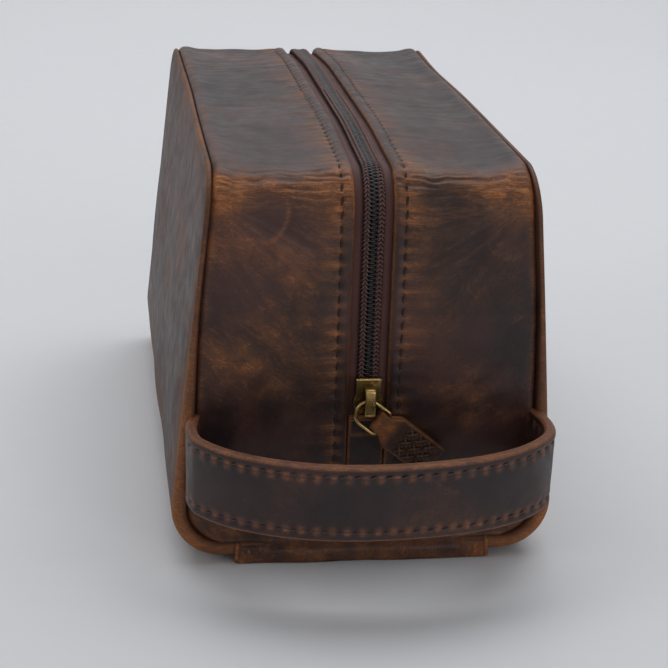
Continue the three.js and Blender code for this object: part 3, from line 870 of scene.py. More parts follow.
def gusset_cell(end, side, s, across):
    """A point on the gusset's outside and its two wear values."""
    y, z, _, _ = run_point(s)
    edge = groove_x(min(z, TOP_Z))
    to_edge = edge - across
    parted = parting(z)
    into = across - inner_x(z)
    # Distance along the run from the middle of the top, made level where the two halves meet.
    along = end * (HALF_RUN - s)
    along *= abs(along) / (abs(along) + 5.0)
    point = Vector((side * across, end * y * y / (y + 5.0), z))
    lift, worn, soft = crease_field(end, side, s, across, along)
    quiet = smooth(0.3, 2.2, into) * smooth(0.4, 3.0, to_edge)
    lift *= quiet

    # A soft swell over the face and the top, and slow lumps in the leather.
    middle = sin(pi * clamp(into / (edge - LIP_X)))
    top = smooth(FACE_RUN + 22.0, FACE_RUN + 70.0, s)
    lift += 1.7 * middle * bell(s - FACE_RUN * 0.5, 50.0) - 0.9 * middle * top
    sunk = smooth(0.0, 14.0, into) * smooth(2.0, 18.0, to_edge)
    lift -= 1.0 * bell(s - TOP_START - 6.0, 15.0) * sunk
    lift += 0.8 * smooth(FACE_RUN - 4.0, FACE_RUN + 14.0, s) * bell(to_edge - 3.4, 3.2)
    lift += lerp(0.75, 0.55, top) * middle * rough_noise(*point, 36.0, 2.9)
    lift += lerp(0.12, 0.05, top) * quiet * rough_noise(*point, 10.0, 6.3)

    # The lip's turned edge, the sunk stitch row and the puckers that it draws.
    if into < TURNED:
        drop = TURNED - sqrt(max(0.0, TURNED**2 - (TURNED - into) ** 2))
        lift -= lerp(0.06, 1.0, parted) * drop
    held = stitch_wave(s - STITCH_START, STITCH_PITCH)
    row = bell(across - STITCH_X, 0.8)
    beyond = max(0.0, across - STITCH_X)
    past_row = smooth(0.0, 0.8, beyond)
    pucker = exp(-beyond / 4.5) * past_row
    before = bell(into - STITCH_IN * 0.66, 1.1)
    lift += 0.34 * parted * bell(into - STITCH_IN / 2, 1.5) - (0.10 + 0.42 * held) * row * parted
    lift += 0.16 * (1 - 2 * held) * (pucker + 0.6 * before) * parted
    pulled = clamp(0.55 + 0.7 * rough_noise(*point, 11.0, 1.1))
    free = (1 - held) ** 1.6 * parted
    worn += (0.80 * pucker + 0.4 * before + 0.55 * row) * free * pulled
    worn += 0.30 * exp(-beyond / 7.0) * past_row * pulled * parted
    worn += 0.60 * bell(into - 0.3, 0.4) * parted

    # The outer edge turns down into the seam; under the seam the hem stands in front of it.
    foot = smooth(SEAM_FOOT + 1.0, SEAM_FOOT - 3.5, z)
    tuck = 2.4 if z > SEAM_FOOT - 1.0 else 0.8
    if to_edge < tuck:
        t = 1 - to_edge / tuck
        lift -= lerp(2.0, 0.7, foot) * (1 - sqrt(max(0.0, 1 - t * t)))
    worn += 0.35 * bell(to_edge - 1.8, 1.3) * pulled
    lift += 2.9 * max(foot, smooth(SEAM_FOOT, SEAM_FOOT - 1.6, z) * smooth(30.0, 37.0, across))
    soft += patch_field(end, side, across, z, point)
    pull = drawn_in(side, end * y, z) * smooth(LIP_X + 12.0, edge, across)
    return place(end, side, s, across - pull, lift), clamp(worn), clamp(soft)


def gusset_lift(end, side, s, across):
    """How far the finished leather stands from the plain run, for things sewn on to it."""
    bare = place(end, side, s, across, 0.0)
    return (gusset_cell(end, side, s, across)[0] - bare).dot(run_normal(end, s))


def gusset_runs():
    """Distances along the run, closer together near the hem and the fold."""
    values = []
    s = 0.0
    while s < HALF_RUN:
        values.append(s)
        near_fold = clamp(bell(s - CREASE_RUN + 6.0, 25.0) * 1.6)
        s += lerp(1.1 if s > 12 else 0.7, 0.42, near_fold)
    values[-1] = HALF_RUN
    return values


NEAR_LIP = (0.0, 0.12, 0.35, 0.7, 1.1, 1.6, 2.2, 2.9, 3.5, 4.0, 4.4, 4.8, 5.3, 6.0, 6.9)
NEAR_LIP += (8.0, 9.3, 10.8)
NEAR_SEAM = (0.0, 0.15, 0.45, 0.9, 1.5, 2.2, 3.2, 4.6)


def gusset_columns(edge, inner, count=44):
    """Distances from the zip, closer together near the lip and the seam."""
    start, stop = LIP_X + NEAR_LIP[-1], edge - NEAR_SEAM[-1]
    share = (start - inner) / NEAR_LIP[-1]
    middle = [lerp(start, stop, i / count) for i in range(1, count)]
    return [inner + v * share for v in NEAR_LIP] + middle + [edge - v for v in reversed(NEAR_SEAM)]


def make_gusset(name, end, side):
    """One half of a gusset strip, with its lip's edge turned under and its hem turned in."""
    rows = []
    for s in gusset_runs():
        z = run_point(s)[1]
        inner = inner_x(z)
        columns = gusset_columns(groove_x(min(z, TOP_Z)), inner)
        row = [gusset_cell(end, side, s, across) for across in columns]
        co, worn, soft = row[0]
        foot = co if inner < LIP_X * 0.5 else place(end, side, s, inner, -TURNED)
        lip = place(end, side, s, inner, 0.0)
        folds = []
        for down, back in ((1.0, 0.0), (1.7, 0.4), (2.0, 1.2), (2.0, 5.0)):
            inward = place(end, side, s, inner + back, -down * 0.5) - lip
            inward.z += max(0.0, 1.0 - 0.7 * s)
            folds.append((foot + inward, 0.3 * worn, soft))
        rows.append(folds[::-1] + row)
    hem = []
    for drop, back in ((0.42, 3.0), (0.42, 1.0), (0.30, 0.35)):
        inward = Vector((0, -end * back, -drop))
        hem.append([(co + inward, worn, soft) for co, worn, soft in rows[0]])
    made = Builder()
    made.grid(hem + rows)
    piece = made.build(name, LEATHER, merge=0.005)
    thicken(piece, GUSSET_THICK)
    return piece


# ---- Stitches ----
def add_stitch(made, points, radius, out):
    """One visible stitch: thread that comes up from one hole and goes down the next."""
    made.tube(points, radius, 6, up=out, taper=lambda t: 0.55 + 0.45 * sin(pi * t))


def lip_stitches(name, end, side):
    """The row of sewing along one lip."""
    made = Builder()
    for k in range(STITCH_COUNT):
        s = STITCH_START + k * STITCH_PITCH
        path = []
        for t in steps(6):
            at = s + STITCH_PITCH * (0.13 + 0.74 * t)
            lift = gusset_lift(end, side, at, STITCH_X) - 0.24 + 0.44 * sin(pi * t)
            path.append(place(end, side, at, STITCH_X + (t - 0.5) * 0.55 * side, lift))
        add_stitch(made, path, 0.40, run_normal(end, s + STITCH_PITCH / 2))
    return made.build(name, THREAD)


# ---- Zip ----
TAPE_INSET = 2.5
TAPE_THICK = 0.6
TAPE_COLUMNS = (0.75, 1.4, 2.2, 3.0, 3.4, 3.9, 4.5, 5.2, 6.0, 7.2, 9.0, 13.0)
TAPE_BELOW = 11.0  # how far the tape goes on below the chain
CHAIN_INSET = 1.15
COIL_RADIUS = 0.46
COIL_STITCH_RADIUS = 0.34
ZIP_FOOT = box_mm("zip_coil_near_right")[0].z - LOW_Z
TOOTH_COUNT = round((HALF_RUN - ZIP_FOOT) / 1.55 - 0.5)
TOOTH_PITCH = (HALF_RUN - ZIP_FOOT) / (TOOTH_COUNT + 0.5)
# One tooth's loop: distance from the zip's middle, rise and shift along the chain.
TOOTH = (
    (3.5, -0.6, 0.26),
    (3.2, -0.05, 0.34),
    (2.3, 0.22, 0.24),
    (1.3, 0.38, 0.08),
    (0.3, 0.34, -0.10),
    (-0.55, 0.08, -0.20),
    (-0.95, -0.5, -0.10),
)


def level_off(s):
    """1 along most of the run, 0 in the middle of the top, where the two halves meet."""
    return smooth(HALF_RUN, HALF_RUN - 20, s)


def laid_sheet(name, material, thickness, end, side, lengths, columns, rise):
    """A thin sheet along the gusset's run; rise(s, across) is its height above that run."""
    made = Builder()
    made.grid([[(place(end, side, s, x, rise(s, x)), 0.0) for x in columns] for s in lengths])
    piece = made.build(name, material)
    thicken(piece, thickness)
    return piece


def tape_strip(name, end, side):
    """One woven tape, with a rib beside the coil."""

    def rise(s, across):
        rib = 0.30 * bell(across - 4.6, 0.7) - 0.15 * bell(across - 3.5, 0.35)
        wave = 0.10 * rough_noise(side * across, end * 30, s, 16.0, 3.3) * level_off(s)
        return rib + wave - TAPE_INSET

    lengths = [lerp(ZIP_FOOT - TAPE_BELOW, HALF_RUN, t) for t in steps(240)]
    return laid_sheet(name, TAPE, TAPE_THICK, end, side, lengths, TAPE_COLUMNS, rise)


def coil_half(name, end, side):
    """The nylon coil of one tape: a loop across the middle at every tooth."""
    made = Builder()
    for k in range(TOOTH_COUNT + 1):
        s = ZIP_FOOT + TOOTH_PITCH * (k if side < 0 else k + 0.5)
        if s <= HALF_RUN - 0.01 * end:
            path = [place(end, side, s + along, x, rise - CHAIN_INSET) for x, rise, along in TOOTH]
            made.tube(path, COIL_RADIUS, 7)
    return made.build(name, COIL)


def coil_threads(name, end, side):
    """The two lines of sewing that hold the coil to its tape."""
    made = Builder()
    for k in range(TOOTH_COUNT + (1 if end < 0 else 0)):
        s = ZIP_FOOT + TOOTH_PITCH * k
        for across, slant, low in ((1.95, 0.95, 0.30), (2.95, -0.95, 0.16)):
            path = []
            for t in steps(5):
                rise = low + 0.46 * sin(pi * t) - CHAIN_INSET
                path.append(place(end, side, s + 1.5 * t, across + slant * (t - 0.5), rise))
            made.tube(path, COIL_STITCH_RADIUS, 6)
    return made.build(name, COIL_THREAD)


# ---- Lining under the flat top, which opens with it ----
LINING_THICK = 0.5
LINING_UNDER = 3.1
LINING_IN = 9.0
LINING_OUT = TOP_HALF - 4.5


def lining_strip(name, end, side):
    """A quarter of the cloth under the top, sagging a little between its seams."""

    def rise(s, across):
        middle = sin(pi * (across - LINING_IN) / (LINING_OUT - LINING_IN))
        lumps = 0.5 * rough_noise(side * across, end * 80, s, 24.0, 9.1) * level_off(s)
        return -LINING_UNDER - middle * (1.6 + lumps)

    lengths = [lerp(TOP_START, HALF_RUN, t) for t in steps(36)]
    columns = [lerp(LINING_IN, LINING_OUT, t) for t in steps(15)]
    return laid_sheet(name, LINING, LINING_THICK, end, side, lengths, columns, rise)


# The opening of the mouth fades out between these distances from the bag's middle.
OPEN_FROM = BEND_Y * MM
OPEN_TO = 0.030


def blend_lip(piece, end, side_name):
    """The piece follows the shell at the bag's end and the opening lip towards the middle."""
    lip = f"{side_name}_lip"
    height = TOP_Z * MM
    if end < 0:
        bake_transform(piece, "shell", lip, start=(0, -OPEN_FROM, height), end=(0, -OPEN_TO, height))
    else:
        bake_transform(piece, lip, "shell", start=(0, OPEN_TO, height), end=(0, OPEN_FROM, height))


for side_name, side in SIDES:
    wall = make_side(f"side_{side_name}", side)
    settle(wall, "shell", "bag_leather", f"side_panel_{side_name}")
    for end_name, end in ENDS:
        tag = f"{end_name}_{side_name}"
        gusset = make_gusset(f"gusset_{tag}", end, side)
        sewing = lip_stitches(f"lip_stitches_{tag}", end, side)
        tape = tape_strip(f"tape_{tag}", end, side)
        coil = coil_half(f"coil_{tag}", end, side)
        coil_sewing = coil_threads(f"coil_sewing_{tag}", end, side)
        cloth = lining_strip(f"lining_top_{tag}", end, side)
        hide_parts(f"end_panel_{tag}", f"top_panel_{side_name}")
        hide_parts(f"zip_tape_{tag}", f"zip_tape_top_{side_name}")
        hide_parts(f"zip_coil_{tag}", f"zip_coil_top_{side_name}")
        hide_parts(f"top_lining_{side_name}")
        for piece, slot in (
            (gusset, "bag_leather"),
            (sewing, "bag_leather"),
            (tape, "zip_tape"),
            (coil, "zip_coil"),
            (coil_sewing, "zip_tape"),
            (cloth, "lining_cloth"),
        ):
            blend_lip(piece, end, side_name)


# ---- Rounded slabs, for the base panel and the zip's end covers ----
def edge_steps(length, radius, spacing):
    """Positions from 0 to length, closer together over the rounded edges."""
    near = [radius * (1 - cos(radians(angle))) for angle in (0, 22, 45, 67, 90)]
    count = max(2, int(round((length - 2 * radius) / spacing)))
    middle = [lerp(radius, length - radius, i / count) for i in range(1, count)]
    return near + middle + [length - v for v in reversed(near)]


def slab(made, low, high, radius, spacing, relief, wear_edge, thick_axis, outward):
    """A soft-edged slab from low to high, with its thickness along thick_axis and its outer face
    in the direction outward. relief(u, v) raises that face."""
    axes = [axis for axis in (0, 1, 2) if axis != thick_axis] + [thick_axis]
    wide, tall, thick = (high[axis] - low[axis] for axis in axes)
    us, vs = edge_steps(wide, radius, spacing[0]), edge_steps(tall, radius, spacing[1])

    def cell(u, v, outer):
        to_edge = min(u, wide - u, v, tall - v)
        inset = 0.0
        if to_edge < radius:
            inset = radius - sqrt(max(0.0, radius**2 - (radius - to_edge) ** 2))
        w = thick / 2 - inset + relief(u, v) if outer else inset - thick / 2
        co = (low + high) / 2
        co[axes[0]] = low[axes[0]] + u
        co[axes[1]] = low[axes[1]] + v
        co[thick_axis] += outward * w
        return co, wear_edge * smooth(radius * 2.2, 0.0, to_edge) if outer else 0.0

    for outer in (True, False):
        made.grid([[cell(u, v, outer) for v in vs] for u in us])
    ring = [(us[0], v) for v in vs] + [(u, vs[-1]) for u in us[1:]]
    ring += [(us[-1], v) for v in reversed(vs[:-1])] + [(u, vs[0]) for u in reversed(us[1:-1])]
    made.grid([[cell(u, v, outer) for u, v in ring] for outer in (True, False)], closed=True)


def make_base():
    """The base strip, drawn in along a line of sewing near its edge."""
    width = base_high.x - base_low.x
    length = base_high.y - base_low.y

    def tuck(u, v):
        row = bell(min(u, width - u) - 4.0, 0.8)
        ends = bell(min(v, length - v) - 4.0, 0.8)
        return -0.3 * max(row, ends)

    made = Builder()
    slab(made, base_low, base_high, 0.9, (2.5, 4.0), tuck, 0.9, 2, -1)
    piece = made.build("base_strip", LEATHER, merge=0.005)
    settle(piece, "shell", "bag_leather", "base_panel")


COVER_THICK = 1.9
COVER_BAND = 7.8  # height of the folded band along the cover's top


def cover_relief(u, v):
    return 0.12 * rough_noise(u, v, 1.0, 4.0, 2.0)


def make_cover(name, node, end):
    """The leather that closes the slot below the zip, with a folded band along its top."""
    low, high = box_mm(node)
    outer = high.y if end > 0 else low.y
    inner = outer - end * COVER_THICK
    band_low = high.z - COVER_BAND
    made = Builder()
    # Each layer's lower and upper edge, how proud it stands, its inset and its edge radius.
    for z0, z1, proud, inset, radius in (
        (low.z, band_low + 0.4, -0.9, 0.0, 0.5),
        (band_low, high.z, 0.0, 0.0, 0.75),
        (band_low + 5.6, high.z - 0.2, 0.45, 0.1, 0.6),
    ):
        y0, y1 = sorted((inner, outer + end * proud))
        corners = Vector((low.x + inset, y0, z0)), Vector((high.x - inset, y1, z1))
        slab(made, *corners, radius, (0.8, 0.9), cover_relief, 0.8, 1, end)
    # The darker pull leather: partly the cover's own colour, partly painted shade from the strap in front of
    # it.
    piece = made.build(name, PULL_LEATHER, merge=0.0005)
    settle(piece, "shell", "bag_leather", node)


TAB_FRONT = END_Y + 2.65
# Each fold's distance from the bag's middle, width and height.
TABS = ((HEM_X - 0.4, 1.7, 6.6), (HEM_X - 4.2, 1.3, 5.4))


def make_tabs(name, end):
    """The turned-back ends of the hem: two short upright folds at each corner."""
    made = Builder()
    for _, side in SIDES:
        for x, wide, tall in TABS:
            path = []
            for t in steps(8):
                slip = 0.25 * sin(2.2 * t + x)
                out = TAB_FRONT + 0.25 * sin(pi * t) - 1.6 * smooth(0.8, 1.0, t)
                path.append(Vector((side * (x + slip), end * out, LOW_Z + 0.4 + tall * t)))
            made.tube(path, wide / 2, 10, wear=0.8, up=Vector((0, end, 0)), flat=0.8)
    settle(made.build(name, LEATHER), "shell", "bag_leather")


make_base()
for end_name, end in ENDS:
    make_tabs(f"hem_tabs_{end_name}", end)
    make_cover(f"end_cover_{end_name}", f"zip_end_cover_{end_name}", end)

# ---- Handle strap ----
UP = Vector((0, 0, 1))
STRAP_Z = (root_low.z + root_high.z) / 2
STRAP_HEIGHT = root_high.z - root_low.z
STRAP_THICK = 3.8
STRAP_REACH = -box_mm("handle_outer")[0].y - END_Y
STRAP_ROOT = 60.4
STRAP_WIDE = 65.2
STRAP_LEAN = radians(6.0)
STRAP_ROW = STRAP_HEIGHT / 2 - 3.5
STRAP_PITCH = 5.1
STRAP_CORNER = 1.2
STRAP_BEND = 17.0  # from this far in front of the bag's end the strap moves with the handle
STRAP_RINGS = 300
TABLE_STEPS = 2600


def strap_middle(angle):
    """The strap's middle line seen from above, from the left root at 0 to the right one at pi."""
    flare = max(0.0, sin(angle)) ** 0.8
    wide = lerp(STRAP_ROOT, STRAP_WIDE, min(1.0, 2.2 * flare))
    return Vector((-wide * cos(angle), -END_Y - (STRAP_REACH - STRAP_THICK / 2) * flare, 0))


def strap_frame(t):
    """Middle point, outward direction and upward direction at t in 0 to 1."""
    angle = pi * t
    here = strap_middle(angle)
    ahead, behind = min(pi, angle + 0.004), max(0.0, angle - 0.004)
    along = (strap_middle(ahead) - strap_middle(behind)).normalized()
    out = Vector((along.y, -along.x, 0)).normalized()
    if out.dot(Vector((here.x, here.y + END_Y * 0.6, 0))) < 0:
        out = -out
    front = sin(angle)
    tilt = STRAP_LEAN * front**1.5
    up = (UP * cos(tilt) + out * sin(tilt)).normalized()
    face = (out * cos(tilt) - UP * sin(tilt)).normalized()
    return here + UP * (STRAP_Z - 0.8 * front**2), face, up


def strap_lengths():
    """Running length along the strap's middle line, to place things at equal distances."""
    total = 0.0
    table = [(0.0, 0.0)]
    last = strap_frame(0.0)[0]
    for t in steps(TABLE_STEPS)[1:]:
        here = strap_frame(t)[0]
        total += (here - last).length
        table.append((total, t))
        last = here
    return table


STRAP_TABLE = strap_lengths()
STRAP_LENGTH = STRAP_TABLE[-1][0]


def strap_at(distance):
    """The strap's frame at a distance along its middle line."""
    after = bisect.bisect_right(STRAP_TABLE, distance, key=lambda entry: entry[0])
    after = min(max(after, 1), TABLE_STEPS)
    (start, t0), (stop, t1) = STRAP_TABLE[after - 1], STRAP_TABLE[after]
    return strap_frame(lerp(t0, t1, clamp((distance - start) / max(1e-9, stop - start))))


def strap_section(distance):
    """The strap's outline at a distance along it: (height, depth, wear, soft) in turn."""
    half, thick, corner = STRAP_HEIGHT / 2, STRAP_THICK / 2, STRAP_CORNER
    held = stitch_wave(distance, STRAP_PITCH)
    free = (1 - held) ** 1.7

    def face_cell(h, sign):
        off_row = abs(h) - STRAP_ROW
        depth = thick - (0.08 + 0.42 * held) * bell(off_row, 0.75)
        depth += 0.20 * bell(off_row - 1.9, 1.1)
        depth += 0.10 * (1 - 2 * held) * bell(off_row + 1.5, 1.2)
        depth += 0.30 * rough_noise(distance, h, sign * 20, 22.0, 5.7) * smooth(14.0, 6.0, abs(h))
        worn = 0.50 * smooth(1.7, 0.2, half - abs(h))
        worn = max(worn, free * max(0.95 * bell(off_row, 0.8), 0.6 * bell(off_row + 1.3, 1.0)))
        soft = 0.26 * clamp(rough_noise(distance, h, sign * 20, 24.0, 3.1))
        return h, sign * depth, worn, soft

    def corner_cell(angle, h_sign, d_sign):
        h = half - corner + corner * sin(radians(angle))
        d = thick - corner + corner * cos(radians(angle))
        return h_sign * h, d_sign * d, 0.80, 0.3

    ring = []
    for sign in (1, -1):
        heights = [lerp(corner - half, half - corner, t) for t in steps(34)]
        ring += [face_cell(sign * h, sign) for h in heights]
        ring += [corner_cell(angle, sign, sign) for angle in (30, 60, 90)]
        ring.append((sign * (half - 0.25), 0.0, 0.60, 0.3))
        ring += [corner_cell(angle, sign, -sign) for angle in (90, 60, 30)]
    return ring


def make_strap():
    """The strap, whose two ends go on into the seams."""
    rings = []
    for t in steps(STRAP_RINGS):
        distance = STRAP_LENGTH * t
        middle, face, up = strap_at(distance)
        droop = 0.3 * rough_noise(distance, 0, 0, 40.0, 3.9)
        section = strap_section(distance)
        rings.append([(middle + up * (h + droop) + face * d, *wear) for h, d, *wear in section])
    tails = [[(co + Vector((0, 3.0, 0)), *wear) for co, *wear in rings[i]] for i in (0, -1)]
    made = Builder()
    made.loft(tails[:1] + rings + tails[1:])
    return made.build("handle_strap", STRAP_LEATHER, merge=0.005)


def strap_stitches():
    """Two rows of sewing on each face of the strap."""
    made = Builder()
    count = ceil((STRAP_LENGTH - 2) / STRAP_PITCH) - 1
    for row in (-STRAP_ROW, STRAP_ROW):
        for sign in (1, -1):
            for k in range(1, count):
                path = []
                for t in steps(6):
                    middle, face, up = strap_at((k + 0.20 + 0.60 * t) * STRAP_PITCH)
                    rise = STRAP_THICK / 2 - 0.62 + 0.42 * sin(pi * t)
                    path.append(middle + up * (row + (t - 0.5) * 0.8) + face * (sign * rise))
                add_stitch(made, path, 0.36, face * sign)
    return made.build("handle_stitches", STRAP_THREAD)


strap = make_strap()
for piece in (strap, strap_stitches()):
    root = (0, -END_Y * MM, STRAP_Z * MM)
    front = (0, -(END_Y + STRAP_BEND) * MM, STRAP_Z * MM)
    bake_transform(piece, "shell", "handle", start=root, end=front)
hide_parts("handle_outer", "handle_inner", "handle_anchor_left", "handle_anchor_right")

# ---- Slider ----
SLIDER_MID = (slider_low.z + slider_high.z) / 2
SLIDER_HALF = (slider_high.z - slider_low.z) / 2
PLATE_FRONT = slider_low.y
PLATE_BACK = slider_high.y - 1.4
PLATE_TOP = 4.6  # half the plate's width at its top
PLATE_WIDE = 5.5


def curve(a, b, c):
    """Points after a on the quadratic curve from a towards b to c."""

    def between(t, p, q, r):
        return (1 - t) ** 2 * p + 2 * t * (1 - t) * q + t**2 * r

    return [[between(t, *values) for values in zip(a, b, c)] for t in steps(7)[1:]]


def slider_outline():
    """The outer plate's outline: square shoulders at the top, flared cheeks below."""
    half, top, wide = SLIDER_HALF, PLATE_TOP, PLATE_WIDE
    shoulder, cheek = (top, 0.30 * half), (wide - 0.1, -0.22 * half)
    right = [(top, half), shoulder]
    right += curve(shoulder, (top + 0.1, 0.0), cheek)
    right += curve(cheek, (wide + 0.15, -0.75 * half), (3.2, -half))
    return right + [(-x, z) for x, z in reversed(right)]


def prism(made, outline, *layers):
    """A solid of one outline at each layer's depth, scaled by its two sizes."""
    rings = []
    for y, wide, tall in layers:
        rings.append([(Vector((x * wide, y, SLIDER_MID + z * tall)), 0.0) for x, z in outline])
    made.loft(rings)


def rub_edges(piece, gain):
    """Sets wear where the surface turns sharply, for rubbed edges."""
    work = bmesh.new()
    work.from_mesh(piece.data)
    layer = work.verts.layers.float["wear"]
    for vert in work.verts:
        turns = [e.calc_face_angle(0.0) for e in vert.link_edges if len(e.link_faces) == 2]
        vert[layer] = clamp(gain * max(turns, default=0.0) / 0.9)
    work.to_mesh(piece.data)
    work.free()


def bevelled(made, name, width, gain):
    """A piece of the slider with bevelled and rubbed edges."""
    # The plates take the darker brass, which is partly painted shade.
    piece = made.build(name, DARK_BRASS, merge=0.001)
    limits = {"limit_method": "ANGLE", "angle_limit": radians(35)}
    modify(piece, "BEVEL", width=width * MM, segments=2, **limits)
    piece.data.shade_smooth()
    rub_edges(piece, gain)
    return piece


def rub_all(piece, value):
    """Sets the same wear on the whole piece."""
    values = [value] * len(piece.data.vertices)
    piece.data.attributes["wear"].data.foreach_set("value", values)
    return piece


def rectangle(x0, x1, z0, z1):
    return [(x0, z0), (x1, z0), (x1, z1), (x0, z1)]


def make_slider():
    """The slider's two plates, its lipped top edge and the bridge that holds the ring."""
    outline = slider_outline()
    front = PLATE_FRONT + 1.6
    small = 1 - 0.35 / SLIDER_HALF
    made = Builder()
    prism(made, outline, (front, 1, 1), (front - 1.0, 1, 1), (front - 1.6, small, small))
    plate = bevelled(made, "slider_plate", 0.28, 0.7)

    # The inner plate, the post and the cheeks that turn in round the chain.
    made = Builder()
    prism(made, outline, (PLATE_BACK, 0.96, 0.97), (PLATE_BACK + 1.3, 0.96, 0.97))
    post = rectangle(-0.45, 0.45, -5.8, -2.0)
    prism(made, post, (PLATE_FRONT + 1.0, 1, 1), (PLATE_BACK + 0.4, 1, 1))
    cheek = rectangle(4.1, PLATE_TOP, -1.5, 6.4)
    for sign in (-1, 1):
        prism(made, cheek, (PLATE_FRONT + 1.3, sign, 1), (PLATE_FRONT + 2.7, sign, 1))
    inner = bevelled(made, "slider_inner", 0.12, 0.5)

    made = Builder()
    lip_z = SLIDER_MID + SLIDER_HALF - 0.35
    lip = [Vector((x, PLATE_FRONT + 0.2, lip_z)) for x in (-4.55, -3.0, -1.5, 0.0, 1.5, 3.0, 4.55)]
    made.tube(lip, 0.55, 12, up=Vector((0, -1, 0)), flat=1.3)
    lip = rub_all(made.build("slider_lip", BRASS, merge=0.001), 0.9)

    made = Builder()
    made.loft(arch_rings())
    arch = rub_all(made.build("slider_arch", BRASS, merge=0.001), 0.7)
    settle(plate, "slider", "antique_brass", "slider_body")
    settle(inner, "slider", "antique_brass")
    settle(lip, "slider", "antique_brass")
    settle(arch, "slider", "antique_brass", "slider_bridge")


ARCH_WIDE = 1.9  # half the bridge's width
ARCH_THICK = 0.6  # half its thickness
ARCH_CORNER = 0.9
ARCH_Z = (bridge_low.z + bridge_high.z) / 2


def arch_rings():
    """Sections of the bridge, from its upper foot out over the ring and back to its lower foot."""
    foot = PLATE_FRONT + 0.2
    crown = bridge_low.y + ARCH_THICK
    half = (bridge_high.z - bridge_low.z) / 2 - ARCH_THICK
    upper = [Vector((0, foot, half))]
    for t in steps(6):
        angle = pi / 2 * t
        out = crown + ARCH_CORNER * (1 - sin(angle))
        upper.append(Vector((0, out, half - ARCH_CORNER * (1 - cos(angle)))))
    lower = [Vector((0, point.y, -point.z)) for point in reversed(upper)]
    path = [point + UP * ARCH_Z for point in upper + [Vector((0, crown - 0.15, 0))] + lower]
    rings = []
    for i, here in enumerate(path):
        before, after = path[max(0, i - 1)], path[min(len(path) - 1, i + 1)]
        along = (after - before).normalized()
        out = Vector((0, -along.z, along.y)) * (1 if along.z < 0 else -1)
        if abs(along.z) < 1e-3:
            out = UP if here.z > ARCH_Z else -UP
        ring = []
        for k in range(16):
            angle = 2 * pi * k / 16
            cx, cy = cos(angle), sin(angle)
            x = ARCH_WIDE * copysign(abs(cx) ** 0.45, cx)
            rise = ARCH_THICK * copysign(abs(cy) ** 0.6, cy)
            ring.append((here + Vector((x, 0, 0)) + out * rise, 0.0))
        rings.append(ring)
    return rings


make_slider()

# ---- Ring and pull ----
PULL_TURN = Matrix.Rotation(-radians(52), 3, "Y")
RING_R = 4.8
RING_REACH = 6.5
RING_CORNER = 1.4
RING_CENTRE = Vector((0, (ring_low.y + ring_high.y) / 2, ARCH_Z - RING_R))


def hang(x, y, z):
    """A point of the ring or pull, drawn hanging straight down, turned to where it rests."""
    return RING_CENTRE + PULL_TURN @ Vector((x, y, z))


def make_ring():
    """The wire ring: round over the bridge, with a straight bar for the pull."""
    offset = RING_R - RING_CORNER
    arcs = (
        (0.0, 0.0, RING_R, 0.0, pi, 24),
        (-offset, RING_CORNER - RING_REACH, RING_CORNER, pi, 1.5 * pi, 6),
        (offset, RING_CORNER - RING_REACH, RING_CORNER, 1.5 * pi, 2 * pi, 6),
    )
    points = []
    for x, z, radius, start, stop, count in arcs:
        for t in steps(count):
            angle = lerp(start, stop, t)
            points.append(hang(x + radius * cos(angle), 0, z + radius * sin(angle)))
    made = Builder()
    made.tube(points, 0.62, 14, wear=0.85, closed=True, up=Vector((0, 1, 0)))
    settle(made.build("ring_wire", BRASS, merge=0.001), "ring", "antique_brass", "pull_ring")


PULL_HALF = 6.4
PULL_NECK = 3.75
PULL_LENGTH = 23.5
PULL_LAYER = 1.4
PULL_PITCH = 4.0
PULL_ROWS = 8.2  # distance from the ring's bar to the first row of crosses
PULL_GAP = 0.03


def pull_outline():
    """The folded strip's middle line in its edge view: (depth, height above the ring's bar)."""
    closed, spread, crown, split = PULL_LAYER / 2 + PULL_GAP, 1.50, 2.9, -7.5
    front = [(closed, lerp(-PULL_LENGTH, split, t)) for t in steps(18)]
    front += [(lerp(closed, spread, smooth(0, 1, t)), lerp(split, 0.0, t)) for t in steps(8)[1:]]
    angles = [pi * t for t in steps(14)[1:-1]]
    over = [(spread * cos(angle), crown * sin(angle)) for angle in angles]
    return front + over + [(-d, h) for d, h in reversed(front)]


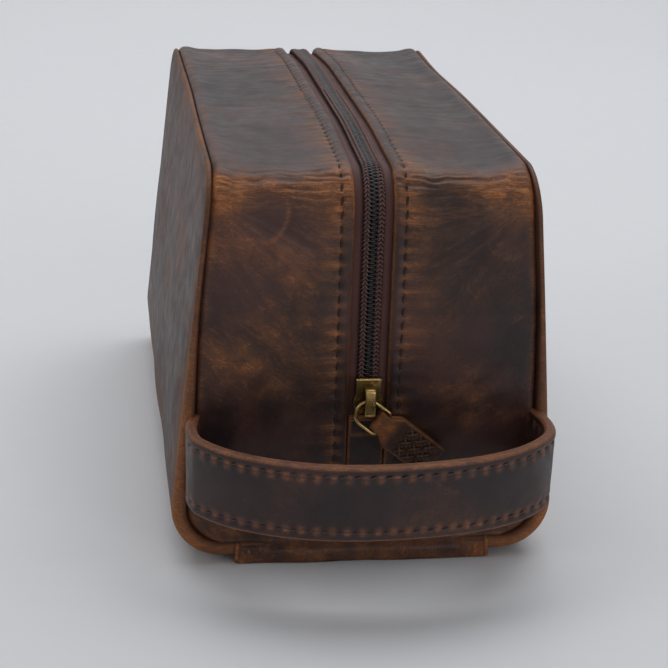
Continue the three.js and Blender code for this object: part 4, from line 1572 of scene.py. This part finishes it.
def pull_ring_cells(depth, height, out):
    """The strip's section at one point of its middle line."""
    # The fold is pinched between the ring's sides and widens below the bar.
    wide = lerp(PULL_NECK, PULL_HALF, smooth(0.3, -5.0, height))
    wide *= 1.0 - 0.04 * smooth(-14.0, -24.0, height)
    below = smooth(-7.0, -9.0, height)
    shares = [lerp(-1.0, 1.0, t) for t in steps(18)]
    cells = []
    for share, face in [(v, 1) for v in shares] + [(-v, -1) for v in shares]:
        x = wide * copysign(1 - (1 - abs(share)) ** 1.25, share)
        to_edge = wide - abs(x)
        rounding = sqrt(clamp(to_edge / 0.7))
        turns = 2 * pi / PULL_PITCH
        lattice = cos(turns * (height + PULL_ROWS)) * cos(turns * x)
        half = PULL_LAYER / 2 * (0.25 + 0.75 * rounding)
        if face > 0:
            half += 0.13 * below * lattice * smooth(5.9, 5.0, abs(x))
        rub = clamp(0.7 + 0.5 * rough_noise(x, height, depth * 3, 4.0, 4.4))
        worn = max(0.55 * smooth(1.2, 0.1, to_edge), 0.25 * below * clamp(lattice))
        worn = max(worn, smooth(-5.6, -2.8, height) * rub)
        at = hang(x, depth + out.x * half * face, height + out.y * half * face - RING_REACH)
        cells.append((at, worn, 0.15))
    return cells


def make_pull():
    """The folded leather strip and its crossed stitches."""
    line = pull_outline()
    rings = []
    for i, (depth, height) in enumerate(line):
        before, after = line[max(0, i - 1)], line[min(len(line) - 1, i + 1)]
        run = Vector((after[0] - before[0], after[1] - before[1])).normalized()
        rings.append(pull_ring_cells(depth, height, Vector((run.y, -run.x))))
    made = Builder()
    made.loft(rings)
    piece = made.build("pull_strip", PULL_LEATHER, merge=0.002)
    settle(piece, "pull", "strap_leather", "pull_leather")

    made = Builder()
    for sign in (-1, 1):
        out = PULL_TURN @ Vector((0, sign, 0))
        for column in (-1.0, 0.0, 1.0):
            height = -PULL_ROWS - PULL_PITCH / 2
            while height > -PULL_LENGTH + 2.2:
                for slant, base in ((-1, 0.0), (1, 0.2)):
                    path = []
                    for t in steps(5):
                        x = (column + slant * (t - 0.5) * 0.92) * PULL_PITCH * 0.92
                        rise = PULL_LAYER + PULL_GAP - 0.12 + 0.42 * sin(pi * t) + base
                        fall = height - (t - 0.5) * PULL_PITCH * 0.86 - RING_REACH
                        path.append(hang(x, sign * rise, fall))
                    add_stitch(made, path, 0.42, out)
                height -= PULL_PITCH
    settle(made.build("pull_cross_stitches", PULL_THREAD), "pull", "strap_leather")


make_ring()
make_pull()

# ---- CAD nodes that keep their own shape ----
for node, material in (
    ("lining_tub", LINING),
    ("base_board", BOARD),
    ("zip_stop_near_left", BRASS),
    ("zip_stop_near_right", BRASS),
    ("zip_stop_far", BRASS),
):
    for material_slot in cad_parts[node].material_slots:
        material_slot.material = material
